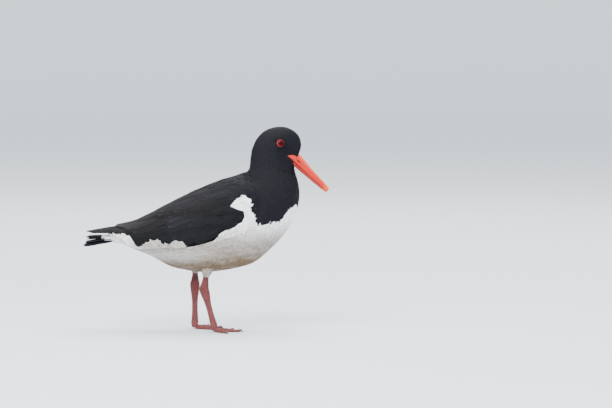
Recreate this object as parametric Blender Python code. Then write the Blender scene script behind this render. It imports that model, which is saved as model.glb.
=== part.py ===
"""A Eurasian oystercatcher, life size, standing still on both feet.

The bird faces +X, its left side is +Y, and the floor under its feet is z = 0.
Tables are in millimetres and are turned into metres by MM.
"""

import bmesh
import bpy
import numpy as np
from mathutils import Matrix, Vector

MM = 0.001
GAP = 0.3
SEED = 13
HULL_GROWTH = 0.5

# Body outline, tail base to brow: back point (x, z), belly point (x, z), half width.
BODY = np.array([
    (-124.0, 139.6, -124.0, 125.4, 14.0),
    (-113.4, 142.8, -113.4, 123.6, 17.5),
    (-92.4, 152.2, -92.4, 114.8, 24.5),
    (-71.4, 163.1, -71.4, 102.4, 31.5),
    (-50.4, 175.0, -50.4, 91.0, 37.0),
    (-29.4, 186.2, -29.4, 85.7, 41.0),
    (-8.4, 196.0, -8.4, 82.6, 43.5),
    (9.8, 204.6, 14.0, 83.6, 45.0),
    (28.0, 212.4, 42.0, 88.2, 45.5),
    (42.0, 218.0, 67.2, 96.2, 45.0),
    (51.8, 221.8, 89.6, 114.4, 42.5),
    (57.4, 224.2, 109.2, 135.4, 38.5),
    (60.2, 227.0, 121.8, 155.4, 33.5),
    (61.3, 231.0, 128.8, 175.0, 28.5),
    (61.7, 235.0, 130.9, 193.2, 24.8),
    (62.1, 239.6, 129.2, 207.2, 22.4),
    (62.9, 245.2, 126.2, 217.6, 20.8),
    (65.0, 255.6, 125.0, 222.6, 18.8),
    (71.4, 269.5, 124.3, 225.6, 17.8),
    (82.6, 280.3, 123.9, 227.3, 17.2),
    (96.6, 285.6, 123.7, 228.2, 16.6),
    (110.6, 285.6, 123.6, 228.8, 15.4),
    (121.8, 281.0, 123.5, 229.3, 13.0),
    (129.6, 273.6, 123.5, 229.6, 10.4),
    (133.1, 263.9, 123.5, 229.8, 8.2),
    (132.6, 255.8, 123.5, 229.9, 6.4),
    (130.3, 249.6, 123.5, 230.0, 4.8),
])
# Stations where one part of the body meets the next.
TAIL_BASE = 0.0
RUMP_END = 3.0
MANTLE_END = 9.0
BREAST_END = 13.6
NECK_END = 16.3
BROW = 26.0
# Height of the black upperparts over the white belly, as a share of each station's depth.
BELLY_LINE = np.array([
    (2.0, 0.55), (3.0, 0.52), (6.0, 0.46), (8.0, 0.45), (9.0, 0.44),
    (10.0, 0.36), (11.0, 0.25), (12.0, 0.12), (12.45, 0.05),
])
BELLY_END = 12.45
BODY_FULLNESS = 0.92
# Hollow between eye and bill: its row and angle, how far it spreads over each, and the share of width it takes.
LORE = (21.4, 2.05, 2.9, 0.52, 0.38)
BODY_POINTS = 20
HEAD_POINTS = 26

# Folded wing, from the bend of the wing back to its tip:
# x, height and reach from the midline of its upper edge, then of its lower edge.
WING = np.array([
    (66.0, 205.0, 31.5, 152.6, 43.4),
    (54.6, 212.0, 24.5, 142.8, 45.4),
    (40.6, 213.6, 17.5, 138.6, 46.2),
    (22.4, 208.0, 13.0, 133.0, 46.2),
    (2.8, 200.2, 9.0, 126.0, 45.4),
    (-16.8, 192.0, 5.0, 120.8, 43.6),
    (-36.4, 182.3, 2.0, 119.2, 40.6),
    (-57.4, 171.5, 0.8, 119.0, 36.6),
    (-78.4, 160.4, 0.8, 117.8, 31.8),
    (-95.2, 152.6, 0.8, 117.6, 27.4),
    (-105.0, 148.3, 0.8, 121.6, 24.4),
    (-114.8, 145.0, 0.8, 129.0, 21.0),
    (-124.6, 142.8, 0.8, 133.4, 18.0),
    (-134.4, 141.2, 0.8, 135.0, 15.0),
    (-148.4, 139.6, 0.8, 135.6, 12.0),
    (-158.2, 138.8, 0.8, 136.2, 10.0),
    (-168.0, 138.2, 0.8, 136.8, 8.0),
])
WING_FULLNESS = 0.86
# Steps in x and t over which the wing's slope is taken, and the t nearest its edges where it is.
SLOPE_STEP_X = 4.0
SLOPE_STEP_T = 0.05
SLOPE_EDGE_T = 0.06
# Front edge of the wing: furthest x, how far it sweeps back, twice the t of its foremost point, and the power.
WING_FRONT = (66.0, 15.0, 0.75, 2.2)
# Height of the wing's core off that surface, from bend to rear: x, height.
CORE = np.array([(66.0, 0.6), (60.0, 1.7), (50.0, 2.1), (20.0, 2.4), (-20.0, 2.4), (-60.0, 2.6), (-98.0, 3.0)])
CORE_REAR = -97.0
CORE_DEPTH = 2.5
CORE_ROWS = 10
CORE_COLUMNS = 9
CORE_CROWDING = 1.15

# Feather tiers: count, then at the lower edge, middle and top of the wing the x of root and tip, then height
# of the root, rise per millimetre of length, thickness, and share of the wing's depth left to them.
TIERS = {
    "remiges": (8, (-26, -30, -34), (-106, -125, -110), 3.0, 0.018, 2.1, (0.050, 0.950)),
    "greater_coverts": (9, (14, 8, 2), (-48, -50, -80), 2.4, 0.033, 2.4, (0.045, 0.955)),
    "median_coverts": (8, (37, 31, 25), (-14, -20, -48), 2.1, 0.043, 2.4, (0.055, 0.945)),
    "lesser_coverts": (7, (54, 52, 44), (14, 8, -14), 1.9, 0.048, 2.4, (0.080, 0.925)),
}
FEATHER_OVERLAP = 0.66
LEAST_LIFT = 0.8
FEATHER_TILT = 0.60
# Along a covert or flight feather: share of its length, share of its width. Then the random slips of the tip in
# x, of the feather in t, and of its height.
FEATHER_SHARES = np.array([0.0, 0.45, 0.80, 0.94, 1.0])
FEATHER_OUTLINE = np.array([0.65, 1.0, 1.0, 0.72, 0.30])
FEATHER_SLIPS = (1.2, 0.004, 0.08)

# Primaries: x of the tip, height, thickness and half width in t, from a shared root.
PRIMARIES = ((-167.5, 1.75, 0.9, 0.42), (-158.5, 2.5, 1.35, 0.39), (-148.5, 3.25, 1.75, 0.36))
PRIMARY_ROOT = -78.0
PRIMARY_PLACE = (0.42, 0.50)
PRIMARY_TILT = 0.1
PRIMARY_SHARES = np.array([0.0, 0.35, 0.65, 0.85, 0.95, 1.0])
PRIMARY_OUTLINE = np.array([0.4, 0.75, 1.0, 0.95, 0.7, 0.22])

# Tail fan: x, crown height, drop to the outer edge, half width.
TAIL = np.array([
    (-118.0, 134.4, 5.0, 12.0),
    (-131.0, 134.6, 8.0, 14.0),
    (-150.0, 134.4, 9.0, 20.0),
    (-172.0, 132.8, 9.0, 25.5),
])
TAIL_FEATHERS = 6
TAIL_ROOT = -126.5
TAIL_TIP = -171.4
TAIL_THICK = 0.7
SHAFT_RISE = 0.25
TAIL_HALF = 5.6
# From one tail feather to the next one out: x of the tip, y of the root, y of the tip, and height; then the
# first one's y at root and tip, and how much higher the left side's feathers lie.
TAIL_STEPS = (-0.6, 1.4, 4.4, -0.85)
TAIL_FIRST = (1.0, 2.2)
TAIL_LEFT_RISE = 0.42
TAIL_SHARES = np.array([0.0, 0.3, 0.6, 0.85, 0.96, 1.0])
TAIL_OUTLINE = np.array([0.4, 0.75, 0.95, 1.0, 0.75, 0.3])
TAIL_STUB = np.array([
    (-124.3, 139.4, -124.3, 125.6, 13.8),
    (-130.0, 137.6, -130.0, 125.6, 13.2),
    (-137.0, 135.8, -137.0, 126.6, 11.6),
    (-143.0, 134.2, -143.0, 128.2, 8.6),
])

# Ends of the bill's middle line.
BILL_ROOT = Vector((116.0, 0.0, 249.5))
BILL_TIP = Vector((171.4, 0.0, 197.4))
# Along the bill: share of length, then heights over the middle line of ridge, mouth and keel, and half width.
BILL = np.array([
    (0.00, -2.2, -4.4, -6.4, 11.2),
    (0.05, 2.8, -4.4, -7.2, 10.3),
    (0.12, 7.6, -4.4, -7.9, 8.6),
    (0.22, 8.3, -4.6, -8.2, 6.6),
    (0.36, 7.0, -4.2, -7.2, 5.0),
    (0.55, 5.4, -3.7, -5.9, 3.8),
    (0.72, 4.4, -3.1, -4.9, 2.9),
    (0.88, 3.4, -2.5, -4.0, 2.1),
    (0.97, 2.6, -2.1, -3.3, 1.6),
    (1.00, 1.8, -1.6, -2.6, 1.2),
])
BILL_POINTS = 12
BILL_CLEARANCE = 0.5
# Powers that round the bill's section up to the ridge or keel, and out to its sides.
BILL_ROUNDING = (0.8, 0.85)
# Nostril slot: its two ends, half height, how deep it goes in, and how far out from the midline its middle lies.
NOSTRIL = (Vector((127.5, 0.0, 239.8)), Vector((133.0, 0.0, 234.0)), 0.9, 1.6, 6.3)

# Eye centre in the head, which way it looks, the eyeball and the bare ring round it.
EYE = Vector((103.9, 0.0, 263.3))
EYE_REACH = 10.7
EYE_LEAN = (0.24, 0.10)
EYEBALL = 6.1
RING_OUTER = 6.3
RING_INNER = 4.4
RING_PROUD = 0.8
SOCKET = 6.65

# Legs, right then left: belly, ankle, foot joint, as (x, z), and reach from the midline.
LEGS = {
    "right": ((2.6, 92.0), (-2.2, 60.0), (12.0, 6.4), -1, 21.0),
    "left": ((-15.6, 92.0), (-16.4, 64.0), (-16.6, 6.4), 1, 21.0),
}
# Down the leg from belly to ankle, then from ankle to foot joint: share of that length, half depth, half width.
KNEE = np.array([(0.0, 3.6, 3.2), (0.35, 3.8, 3.0), (0.55, 4.2, 3.2), (0.79, 5.4, 4.0)])
SHIN = np.array([
    (0.0, 6.8, 4.9), (0.10, 6.5, 4.8), (0.20, 5.8, 4.2), (0.32, 4.8, 3.5), (0.45, 4.2, 3.1),
    (0.68, 4.2, 3.2), (0.86, 4.8, 3.9), (0.97, 5.2, 4.3),
])
# Feathered thigh, from belly towards ankle, laid out in the same way.
THIGH = np.array([(0.0, 11.5, 9.4), (0.15, 10.6, 8.6), (0.28, 8.8, 7.2), (0.40, 6.0, 5.2)])
THIGH_POINTS = 14
# Joint over the toes, measured from the shank's end: (x, z), half depth, half width.
KNUCKLE = np.array([
    (-0.6, 3.4, 4.9, 4.2), (-0.3, 0.5, 4.8, 4.5), (0.0, -3.0, 4.7, 4.9), (0.4, -5.6, 3.8, 4.2),
])
# Toes: name, angle out from straight ahead, length, half thickness at the root.
TOES = (("inner", 30.0, 29.0, 3.1), ("middle", -3.0, 36.0, 3.3), ("outer", -55.0, 31.0, 3.2))
TOE_START = 0.4
TOE_SHARES = np.array([0.0, 0.16, 0.33, 0.5, 0.66, 0.83, 1.0])
# How much thinner a toe's end is, how much each of its three joints swells, its height off the floor at the
# joint and the share of its length over which that falls, and its width over its depth.
TOE_TAPER, TOE_SWELL, TOE_RISE, TOE_RISE_END, TOE_SPREAD = 0.36, 0.09, 2.2, 0.25, 1.05
TOE_POINTS = 10
TOE_SINK = 0.5
# Web between two toes: angle and reach along each, then its lowest height, and top at the joint and the rim.
WEB = ((-3.0, 17.0), (-55.0, 15.0))
WEB_HEIGHTS = (1.2, 3.2, 2.4)
# Claw: length, then share of length and thickness over the toe's; lift of its root and its width over its depth.
CLAW = 4.6
CLAW_SHAPE = ((0.0, 0.50), (0.35, 0.44), (0.7, 0.30), (1.0, 0.10))
CLAW_LIFT, CLAW_SPREAD = (0.3, 0.9), 1.1

COLOURS = {
    "black_plumage": ((0.018, 0.018, 0.024), 0.55),
    "brown_black_plumage": ((0.030, 0.026, 0.027), 0.60),
    "white_plumage": ((0.74, 0.72, 0.68), 0.75),
    "bill_horn": ((0.86, 0.16, 0.05), 0.35),
    "iris": ((0.55, 0.015, 0.02), 0.08),
    "eye_ring": ((0.80, 0.09, 0.05), 0.45),
    "leg_skin": ((0.62, 0.22, 0.25), 0.50),
    "claw_horn": ((0.06, 0.05, 0.05), 0.40),
}


def clear_scene():
    for obj in list(bpy.data.objects):
        bpy.data.objects.remove(obj, do_unlink=True)


def material(name):
    found = bpy.data.materials.get(name)
    if found:
        return found
    colour, rough = COLOURS[name]
    found = bpy.data.materials.new(name)
    found.use_nodes = True
    shader = found.node_tree.nodes["Principled BSDF"]
    shader.inputs["Base Color"].default_value = (*colour, 1.0)
    shader.inputs["Roughness"].default_value = rough
    shader.inputs["Metallic"].default_value = 0.0
    found.diffuse_color = (*colour, 1.0)
    return found


def collection(name, hidden=False):
    made = bpy.data.collections.new(name)
    bpy.context.scene.collection.children.link(made)
    made.hide_render = hidden
    return made


def add_object(name, points, faces, finish, into):
    """A mesh object from points in millimetres, with its faces turned outwards."""
    mesh = bpy.data.meshes.new(name)
    mesh.from_pydata((np.asarray(points) * MM).tolist(), [], [list(map(int, f)) for f in faces])
    work = bmesh.new()
    work.from_mesh(mesh)
    bmesh.ops.recalc_face_normals(work, faces=work.faces)
    work.to_mesh(mesh)
    work.free()
    mesh.shade_smooth()
    mesh.set_sharp_from_angle(angle=np.radians(40))
    obj = bpy.data.objects.new(name, mesh)
    into.objects.link(obj)
    mesh.materials.append(material(finish))
    return obj


def spline(table, at):
    """Rows of a table read at fractional row numbers, along a Catmull-Rom curve."""
    at = np.clip(np.asarray(at, float), 0, len(table) - 1)
    low = np.minimum(at.astype(int), len(table) - 2)
    t = (at - low)[:, None]
    ends = np.vstack([2 * table[0] - table[1], table, 2 * table[-1] - table[-2]])
    a, b, c, d = (ends[low + i] for i in range(4))
    return 0.5 * (2 * b + (c - a) * t + (2 * a - 5 * b + 4 * c - d) * t**2 + (3 * b - a - 3 * c + d) * t**3)


def by_x(table, x):
    """Every column of a table at x, whose first column falls from row to row."""
    x = np.asarray(x, float)
    return [np.interp(-x, -table[:, 0], column) for column in table.T[1:]]


def signed_power(value, power):
    """The value's size raised to a power, with its sign kept."""
    return np.sign(value) * np.abs(value) ** power


def body_ring(row, angles, table=BODY):
    """A closed section of the body: a full ellipse between the back point and the belly point."""
    back_x, back_z, belly_x, belly_z, width = spline(table, [row])[0]
    centre = np.array([(back_x + belly_x) / 2, 0, (back_z + belly_z) / 2])
    up = np.array([(back_x - belly_x) / 2, 0, (back_z - belly_z) / 2])
    across = signed_power(np.sin(angles), BODY_FULLNESS) * width
    if table is BODY:
        across = across * lore_hollow(row, angles)
    return centre + np.outer(np.cos(angles), up) + np.outer(across, (0, 1, 0))


def lore_hollow(row, angles):
    """The share of the body's width that is left at an angle from the back, less between eye and bill."""
    at_row, at_angle, over_rows, over_angles, depth = LORE
    from_back = np.arccos(np.cos(angles))
    near = ((row - at_row) / over_rows) ** 2 + ((from_back - at_angle) / over_angles) ** 2
    return 1 - depth * np.exp(-near)


def loft(rings):
    """Points and faces of a closed solid through rings of equal count, with a fan over each end."""
    rings = np.asarray(rings)
    count, around = rings.shape[:2]
    points = rings.reshape(-1, 3)
    faces = []
    for i in range(count - 1):
        for j in range(around):
            k = (j + 1) % around
            faces.append((i * around + j, i * around + k, (i + 1) * around + k, (i + 1) * around + j))
    points = np.vstack([points, rings[0].mean(0), rings[-1].mean(0)])
    first, last = count * around, count * around + 1
    for j in range(around):
        k = (j + 1) % around
        faces.append((first, k, j))
        faces.append((last, (count - 1) * around + j, (count - 1) * around + k))
    return points, faces


def stations(start, end, step=1.0):
    """Row numbers from start to end, held back at each end by half the gap between parts."""
    inner = np.arange(np.ceil(start / step + 0.2) * step, end - 0.2 * step, step)
    return np.concatenate([[start], inner, [end]])


def row_gap(row):
    """The row distance that is half a gap wide at the outside of the body there."""
    near = spline(BODY, [row - 0.05, row + 0.05])
    moved = min(np.hypot(*(near[1] - near[0])[:2]), np.hypot(*(near[1] - near[0])[2:4]))
    return 0.5 * GAP * 0.1 / max(moved, 0.06)


def whole_part(name, start, end, finish, into, start_gap=True, end_gap=True, step=1.0, count=BODY_POINTS):
    """A length of the body between two rows."""
    start = start + (row_gap(start) if start_gap else 0)
    end = end - (row_gap(end) if end_gap else 0)
    angles = np.linspace(0, 2 * np.pi, count, endpoint=False)
    rings = [body_ring(row, angles) for row in stations(start, end, step)]
    return add_object(name, *loft(rings), finish, into)


def split_part(name, start, end, upper, finish, into):
    """The upper or lower share of a length of the body, parted along the belly line."""
    start, end = start + row_gap(start), end - row_gap(end)
    rings = []
    for row in stations(start, end):
        back_x, back_z, belly_x, belly_z, _ = spline(BODY, [row])[0]
        depth = np.hypot(back_x - belly_x, back_z - belly_z)
        share = np.interp(row, BELLY_LINE[:, 0], BELLY_LINE[:, 1]) if row <= BELLY_END else 0.0
        shift = 0.5 * GAP / depth * (1 if upper else -1)
        split = np.arccos(np.clip(2 * (share + shift) - 1, -1, 1))
        count = BODY_POINTS * 3 // 4
        if upper:
            angles = np.linspace(-split, split, count)
        else:
            angles = np.linspace(split, 2 * np.pi - split, count)
        rings.append(body_ring(row, angles))
    return add_object(name, *loft(rings), finish, into)


def sheet(x, t, lift, side):
    """A point over the folded wing: x along the bird, t from its lower edge to its upper edge, lift off it."""

    def base(x, t):
        top_z, top_y, low_z, low_y = by_x(WING, x)
        turn = 0.5 * np.pi * (1 - t)
        y = top_y + (low_y - top_y) * np.sin(turn) ** WING_FULLNESS
        z = low_z + (top_z - low_z) * np.maximum(np.cos(turn), 0) ** WING_FULLNESS
        return np.stack([x, y, z], -1)

    x, t, lift = np.broadcast_arrays(np.asarray(x, float), np.clip(t, 0.0, 1.0), np.asarray(lift, float))
    along = base(x + SLOPE_STEP_X, t) - base(x - SLOPE_STEP_X, t)
    inner = np.clip(t, SLOPE_EDGE_T, 1 - SLOPE_EDGE_T)
    over = base(x, inner + SLOPE_STEP_T) - base(x, inner - SLOPE_STEP_T)
    out = np.cross(over, along)
    out /= np.linalg.norm(out, axis=-1, keepdims=True)
    point = base(x, t) + out * lift[..., None]
    point[..., 1] *= side
    return point


def vane(x, t, half, lift, side, tilt, thick, columns=2):
    """A feather lying on the wing: arrays along its shaft of x, t, half width in t, and lift."""
    over = np.linspace(-1.0, 1.0, columns)
    across = np.concatenate([over, over[::-1]])
    under = np.repeat([0.0, 1.0], columns)
    place = t[:, None] + across * half[:, None]
    height = lift[:, None] - tilt * across - under * thick
    height = np.maximum(height, LEAST_LIFT)
    return loft(sheet(x[:, None] + 0 * place, place, height, side))


def along_three(three, share):
    """A value at the lower edge, middle and top of the wing, read at a share of the way up."""
    return np.interp(share, (0, 0.5, 1), three)


def tier_feathers(count, roots, tips, root_lift, rise, thick, span, side):
    """One tier of wing feathers, each lying over the next one below it."""
    spacing = (span[1] - span[0]) / (count - 1)
    half = spacing * FEATHER_OVERLAP * FEATHER_OUTLINE
    chance = np.random.default_rng(SEED + count)
    made = []
    for share in np.linspace(0, 1, count):
        tip_slip, t_slip, lift_slip = chance.uniform(-1, 1, 3) * FEATHER_SLIPS
        root, tip = along_three(roots, share), along_three(tips, share) + tip_slip
        x = root + (tip - root) * FEATHER_SHARES
        t = np.full_like(x, span[0] + (span[1] - span[0]) * share + t_slip)
        lift = root_lift + lift_slip + rise * np.abs(x - root)
        made.append(vane(x, t, half, lift, side, FEATHER_TILT, thick))
    return made


def primary_feathers(side):
    """The long feathers of the wing tip, the longest lowest."""
    t = PRIMARY_PLACE[0] + (PRIMARY_PLACE[1] - PRIMARY_PLACE[0]) * PRIMARY_SHARES
    made = []
    for tip, lift, thick, half in PRIMARIES:
        x = PRIMARY_ROOT + (tip - PRIMARY_ROOT) * PRIMARY_SHARES
        made.append(vane(x, t, half * PRIMARY_OUTLINE, np.full_like(x, lift), side, PRIMARY_TILT, thick, 6))
    return made


def wing_core(side):
    """The slab that the wing feathers grow from, its front edge rounded at the bend of the wing."""
    furthest, sweep, foremost, power = WING_FRONT
    t = np.linspace(0.0, 1.0, CORE_COLUMNS)
    front = furthest - sweep * np.abs(2 * t - foremost) ** power
    back = np.linspace(0, 1, CORE_ROWS) ** CORE_CROWDING
    x = front[None, :] + (CORE_REAR - front[None, :]) * back[:, None]
    thick = np.interp(-x, -CORE[:, 0], CORE[:, 1])
    t = np.clip(t, 0.02, 0.98)[None, :] + 0 * x
    outer = sheet(x, t, thick, side)
    inner = sheet(x, t, -CORE_DEPTH + 0 * x, side)
    return grid_solid(outer, inner)


def grid_solid(outer, inner):
    """A closed solid between two grids of points of the same size."""
    rows, cols = outer.shape[:2]
    size = rows * cols
    points = np.vstack([outer.reshape(-1, 3), inner.reshape(-1, 3)])
    faces = []
    for i in range(rows - 1):
        for j in range(cols - 1):
            a = i * cols + j
            quad = (a, a + 1, a + cols + 1, a + cols)
            faces.append(quad)
            faces.append(tuple(size + q for q in quad[::-1]))
    rim = (
        [j for j in range(cols)]
        + [i * cols + cols - 1 for i in range(1, rows)]
        + [(rows - 1) * cols + j for j in range(cols - 2, -1, -1)]
        + [i * cols for i in range(rows - 2, 0, -1)]
    )
    for a, b in zip(rim, rim[1:] + rim[:1]):
        faces.append((b, a, size + a, size + b))
    return points, faces


def tail_point(x, y, lift):
    """A point on the tail's fan, which slopes down to each side like a roof."""
    crown, drop, half = by_x(TAIL, x)
    return np.stack([x + 0 * y, y, crown - drop * (y / half) ** 2 + lift], -1)


def tail_feathers():
    """Feathers to each side, the middle pair on top and the outer ones a little longer."""
    across = np.array([-1.0, 0.0, 1.0, 1.0, -1.0])
    under = np.array([0.0, 0.0, 0.0, 1.0, 1.0])
    ridge = np.array([0.0, SHAFT_RISE, 0.0, 0.0, 0.0])
    half = TAIL_HALF * TAIL_OUTLINE
    tip_step, root_y_step, tip_y_step, lift_step = TAIL_STEPS
    made = []
    for side in (-1, 1):
        for k in range(TAIL_FEATHERS):
            tip = TAIL_TIP + tip_step * (k - TAIL_FEATHERS + 1)
            root_y, tip_y = TAIL_FIRST[0] + root_y_step * k, TAIL_FIRST[1] + tip_y_step * k
            x = TAIL_ROOT + (tip - TAIL_ROOT) * TAIL_SHARES
            y = side * (root_y + (tip_y - root_y) * TAIL_SHARES)
            lift = lift_step * k + (TAIL_LEFT_RISE if side > 0 else 0.0)
            place = y[:, None] + across * half[:, None]
            level = lift - under * TAIL_THICK + ridge
            made.append(loft(tail_point(x[:, None] + 0 * place, place, level)))
    return made


def joined(name, shapes, finish, into, solver="EXACT", cutter=None):
    """One node from several closed shapes, by a single Boolean union; a cutter clears the first of them."""
    pieces = collection(name + "_pieces")
    base = add_object(name, *shapes[0], finish, into)
    if cutter:
        subtract(base, cutter, solver)
    made = [add_object(f"{name}_{i}", *shape, finish, pieces) for i, shape in enumerate(shapes[1:])]
    union = base.modifiers.new("union", "BOOLEAN")
    union.operation = "UNION"
    union.solver = solver
    union.operand_type = "COLLECTION"
    union.collection = pieces
    apply_modifiers(base)
    for piece in made:
        bpy.data.objects.remove(piece, do_unlink=True)
    bpy.data.collections.remove(pieces)
    return base


def apply_modifiers(obj):
    """Replaces a mesh by its evaluated self and drops its modifiers."""
    bpy.context.view_layer.update()
    graph = bpy.context.evaluated_depsgraph_get()
    mesh = bpy.data.meshes.new_from_object(obj.evaluated_get(graph))
    old = obj.data
    obj.modifiers.clear()
    obj.data = mesh
    bpy.data.meshes.remove(old)


def keep_largest(obj):
    """Keeps the closed surface with the most faces, so that no loose scrap stays on the node."""
    work = bmesh.new()
    work.from_mesh(obj.data)
    left = set(work.faces)
    islands = []
    while left:
        island = [left.pop()]
        for face in island:
            for edge in face.edges:
                found = [other for other in edge.link_faces if other in left]
                left.difference_update(found)
                island.extend(found)
        islands.append(island)
    islands.sort(key=len)
    loose = [face for island in islands[:-1] for face in island]
    bmesh.ops.delete(work, geom=loose, context="FACES")
    work.to_mesh(obj.data)
    work.free()


def subtract(obj, cutter, solver="EXACT"):
    """Cuts a closed shape out of obj."""
    cut = obj.modifiers.new("cut", "BOOLEAN")
    cut.operation = "DIFFERENCE"
    cut.solver = solver
    cut.object = cutter
    apply_modifiers(obj)


def cut_clear(obj, cutters, hidden, grow=GAP, solver="EXACT"):
    """Cuts obj back from each cutter's own shape grown by the gap."""
    for cutter in cutters:
        shape = bpy.data.objects.new(f"{obj.name}_clear_of_{cutter.name}", cutter.data.copy())
        hidden.objects.link(shape)
        shape.hide_render = True
        shape.display_type = "WIRE"
        normals = [Vector(v.normal) for v in shape.data.vertices]
        for vertex, normal in zip(shape.data.vertices, normals):
            vertex.co += normal * grow * MM
        subtract(obj, shape, solver)
        bpy.data.objects.remove(shape, do_unlink=True)
    keep_largest(obj)


def body_hull(hidden):
    """The whole body and neck, a little larger all round, for cutting wings and thighs clear of it."""
    angles = np.linspace(0, 2 * np.pi, 2 * BODY_POINTS, endpoint=False)
    rings = []
    for row in range(int(NECK_END) + 1):
        ring = body_ring(row, angles)
        out = ring - ring.mean(0)
        rings.append(ring + HULL_GROWTH * out / np.linalg.norm(out, axis=1, keepdims=True))
    hull = add_object("hull", *loft(rings), "black_plumage", hidden)
    hull.hide_render = True
    hull.display_type = "WIRE"
    return hull


def build_body(into):
    """The body's lengths from rump to head."""
    return {
        "rump": whole_part("rump", TAIL_BASE, RUMP_END, "white_plumage", into, start_gap=False),
        "mantle": split_part("mantle", RUMP_END, MANTLE_END, True, "black_plumage", into),
        "breast": split_part("breast", MANTLE_END, BREAST_END, True, "black_plumage", into),
        "belly": split_part("belly", RUMP_END, BELLY_END, False, "white_plumage", into),
        "neck": whole_part("neck", BREAST_END, NECK_END, "black_plumage", into),
        "head": whole_part("head", NECK_END, BROW, "black_plumage", into, end_gap=False,
                           step=0.5, count=HEAD_POINTS),
    }


def build_wings(hull, into):
    """The right wing, and the left one as its mirror image."""
    shapes = [wing_core(-1)] + primary_feathers(-1)
    for tier in TIERS.values():
        shapes += tier_feathers(*tier, -1)
    right = joined("wing_right", shapes, "brown_black_plumage", into, "MANIFOLD", hull)
    keep_largest(right)
    left = bpy.data.objects.new("wing_left", right.data.copy())
    left.data.name = "wing_left"
    into.objects.link(left)
    left.data.transform(Matrix.Diagonal((1, -1, 1, 1)))
    left.data.flip_normals()


def build_tail(rump, into, hidden):
    """Tail feathers and the stub that carries them, cut clear of the rump."""
    angles = np.linspace(0, 2 * np.pi, 16, endpoint=False)
    stub = loft([body_ring(row, angles, TAIL_STUB) for row in (0, 1, 2, 3)])
    tail = joined("tail", [stub] + tail_feathers(), "black_plumage", into, "MANIFOLD")
    cut_clear(tail, [rump], hidden, solver="MANIFOLD")


def bill_axis():
    return np.array((BILL_TIP - BILL_ROOT).normalized())


def bill_rings(upper):
    """Sections of one half of the bill, flat on the mouth line and round over the other side."""
    axis = bill_axis()
    lift = np.array((-axis[2], 0.0, axis[0]))
    length = (BILL_TIP - BILL_ROOT).length
    turn = np.linspace(0, np.pi, BILL_POINTS)
    rise_power, reach_power = BILL_ROUNDING
    rings = []
    for share, ridge, mouth, keel, width in spline(BILL, np.arange(0, len(BILL) - 0.9, 0.5)):
        start = mouth + 0.5 * GAP * (1 if upper else -1)
        rise = start + ((ridge if upper else keel) - start) * np.sin(turn) ** rise_power
        reach = width * signed_power(np.cos(turn), reach_power)
        centre = np.array(BILL_ROOT) + axis * length * share
        rings.append(centre + np.outer(rise, lift) + np.outer(reach, (0, 1, 0)))
    return rings


def bill_room(hidden):
    """The bill's whole outline as one closed shape, larger all round, for cutting the head clear of it."""
    rings = []
    for over, under in zip(bill_rings(True), bill_rings(False)):
        ring = np.vstack([over, under[-2:0:-1]])
        out = ring - ring.mean(0)
        rings.append(ring + BILL_CLEARANCE * out / np.linalg.norm(out, axis=1, keepdims=True))
    rings[0] = rings[0] - bill_axis() * BILL_CLEARANCE
    room = add_object("bill_room", *loft(rings), "bill_horn", hidden)
    room.hide_render = True
    return room


def nostril_slot(side, hidden):
    """A long ball along the nostril's slot, for cutting it into the bill's side."""
    start, end, half, depth, reach = NOSTRIL
    along = np.linspace(0, np.pi, 9)[1:-1]
    angles = np.linspace(0, 2 * np.pi, 12, endpoint=False)
    ahead = np.array((end - start).normalized())
    over = np.array((-ahead[2], 0.0, ahead[0]))
    middle = np.array((start + end) / 2) + (0.0, side * reach, 0.0)
    rings = [
        middle - ahead * np.cos(a) * (end - start).length / 2
        + np.outer(np.cos(angles) * np.sin(a) * half, over)
        + np.outer(np.sin(angles) * np.sin(a) * depth, (0, 1, 0))
        for a in along
    ]
    slot = add_object(f"nostril_{side}", *loft(rings), "bill_horn", hidden)
    slot.hide_render = True
    return slot


def build_bill(head, into, hidden):
    """Both halves of the bill, with a nostril slot in each side of the upper one, and their room in the head."""
    upper = add_object("bill_upper", *loft(bill_rings(True)), "bill_horn", into)
    add_object("bill_lower", *loft(bill_rings(False)), "bill_horn", into)
    for side in (-1, 1):
        slot = nostril_slot(side, hidden)
        subtract(upper, slot)
        bpy.data.objects.remove(slot, do_unlink=True)
    keep_largest(upper)
    room = bill_room(hidden)
    subtract(head, room)
    keep_largest(head)
    bpy.data.objects.remove(room, do_unlink=True)


def eye_frame(side):
    """The eye's centre and a rotation whose z axis looks out of the eye."""
    centre = Vector((EYE.x, side * EYE_REACH, EYE.z))
    out = Vector((EYE_LEAN[0], side, EYE_LEAN[1])).normalized()
    return centre, out.to_track_quat("Z", "Y").to_matrix().to_4x4()


def turned(name, profile, side, finish, into, steps=20):
    """A ring turned about the eye's axis from a closed profile of (radius, height) in millimetres."""
    centre, turn = eye_frame(side)
    angles = np.linspace(0, 2 * np.pi, steps, endpoint=False)
    rings = np.array([[(r * np.cos(a), r * np.sin(a), h) for r, h in profile] for a in angles])
    points = rings.reshape(-1, 3)
    points = np.array([(turn @ Vector(p)) + centre for p in points])
    around = len(profile)
    faces = []
    for i in range(steps):
        for j in range(around):
            a, b = i * around + j, i * around + (j + 1) % around
            c, d = ((i + 1) % steps) * around + (j + 1) % around, ((i + 1) % steps) * around + j
            faces.append((a, b, c, d))
    return add_object(name, points, faces, finish, into)


def ring_profile():
    """Section of the bare ring: it hugs the eyeball inside and the socket outside."""
    ball = EYEBALL + GAP
    inner_z = np.sqrt(ball**2 - RING_INNER**2)
    mid = 0.5 * (RING_INNER + RING_OUTER)
    low_z = np.sqrt(ball**2 - mid**2)
    return [
        (RING_INNER, inner_z),
        (RING_INNER + 0.4, inner_z + RING_PROUD),
        (RING_OUTER - 0.4, low_z + RING_PROUD),
        (RING_OUTER, low_z - 0.9),
        (mid, low_z),
    ]


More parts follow.
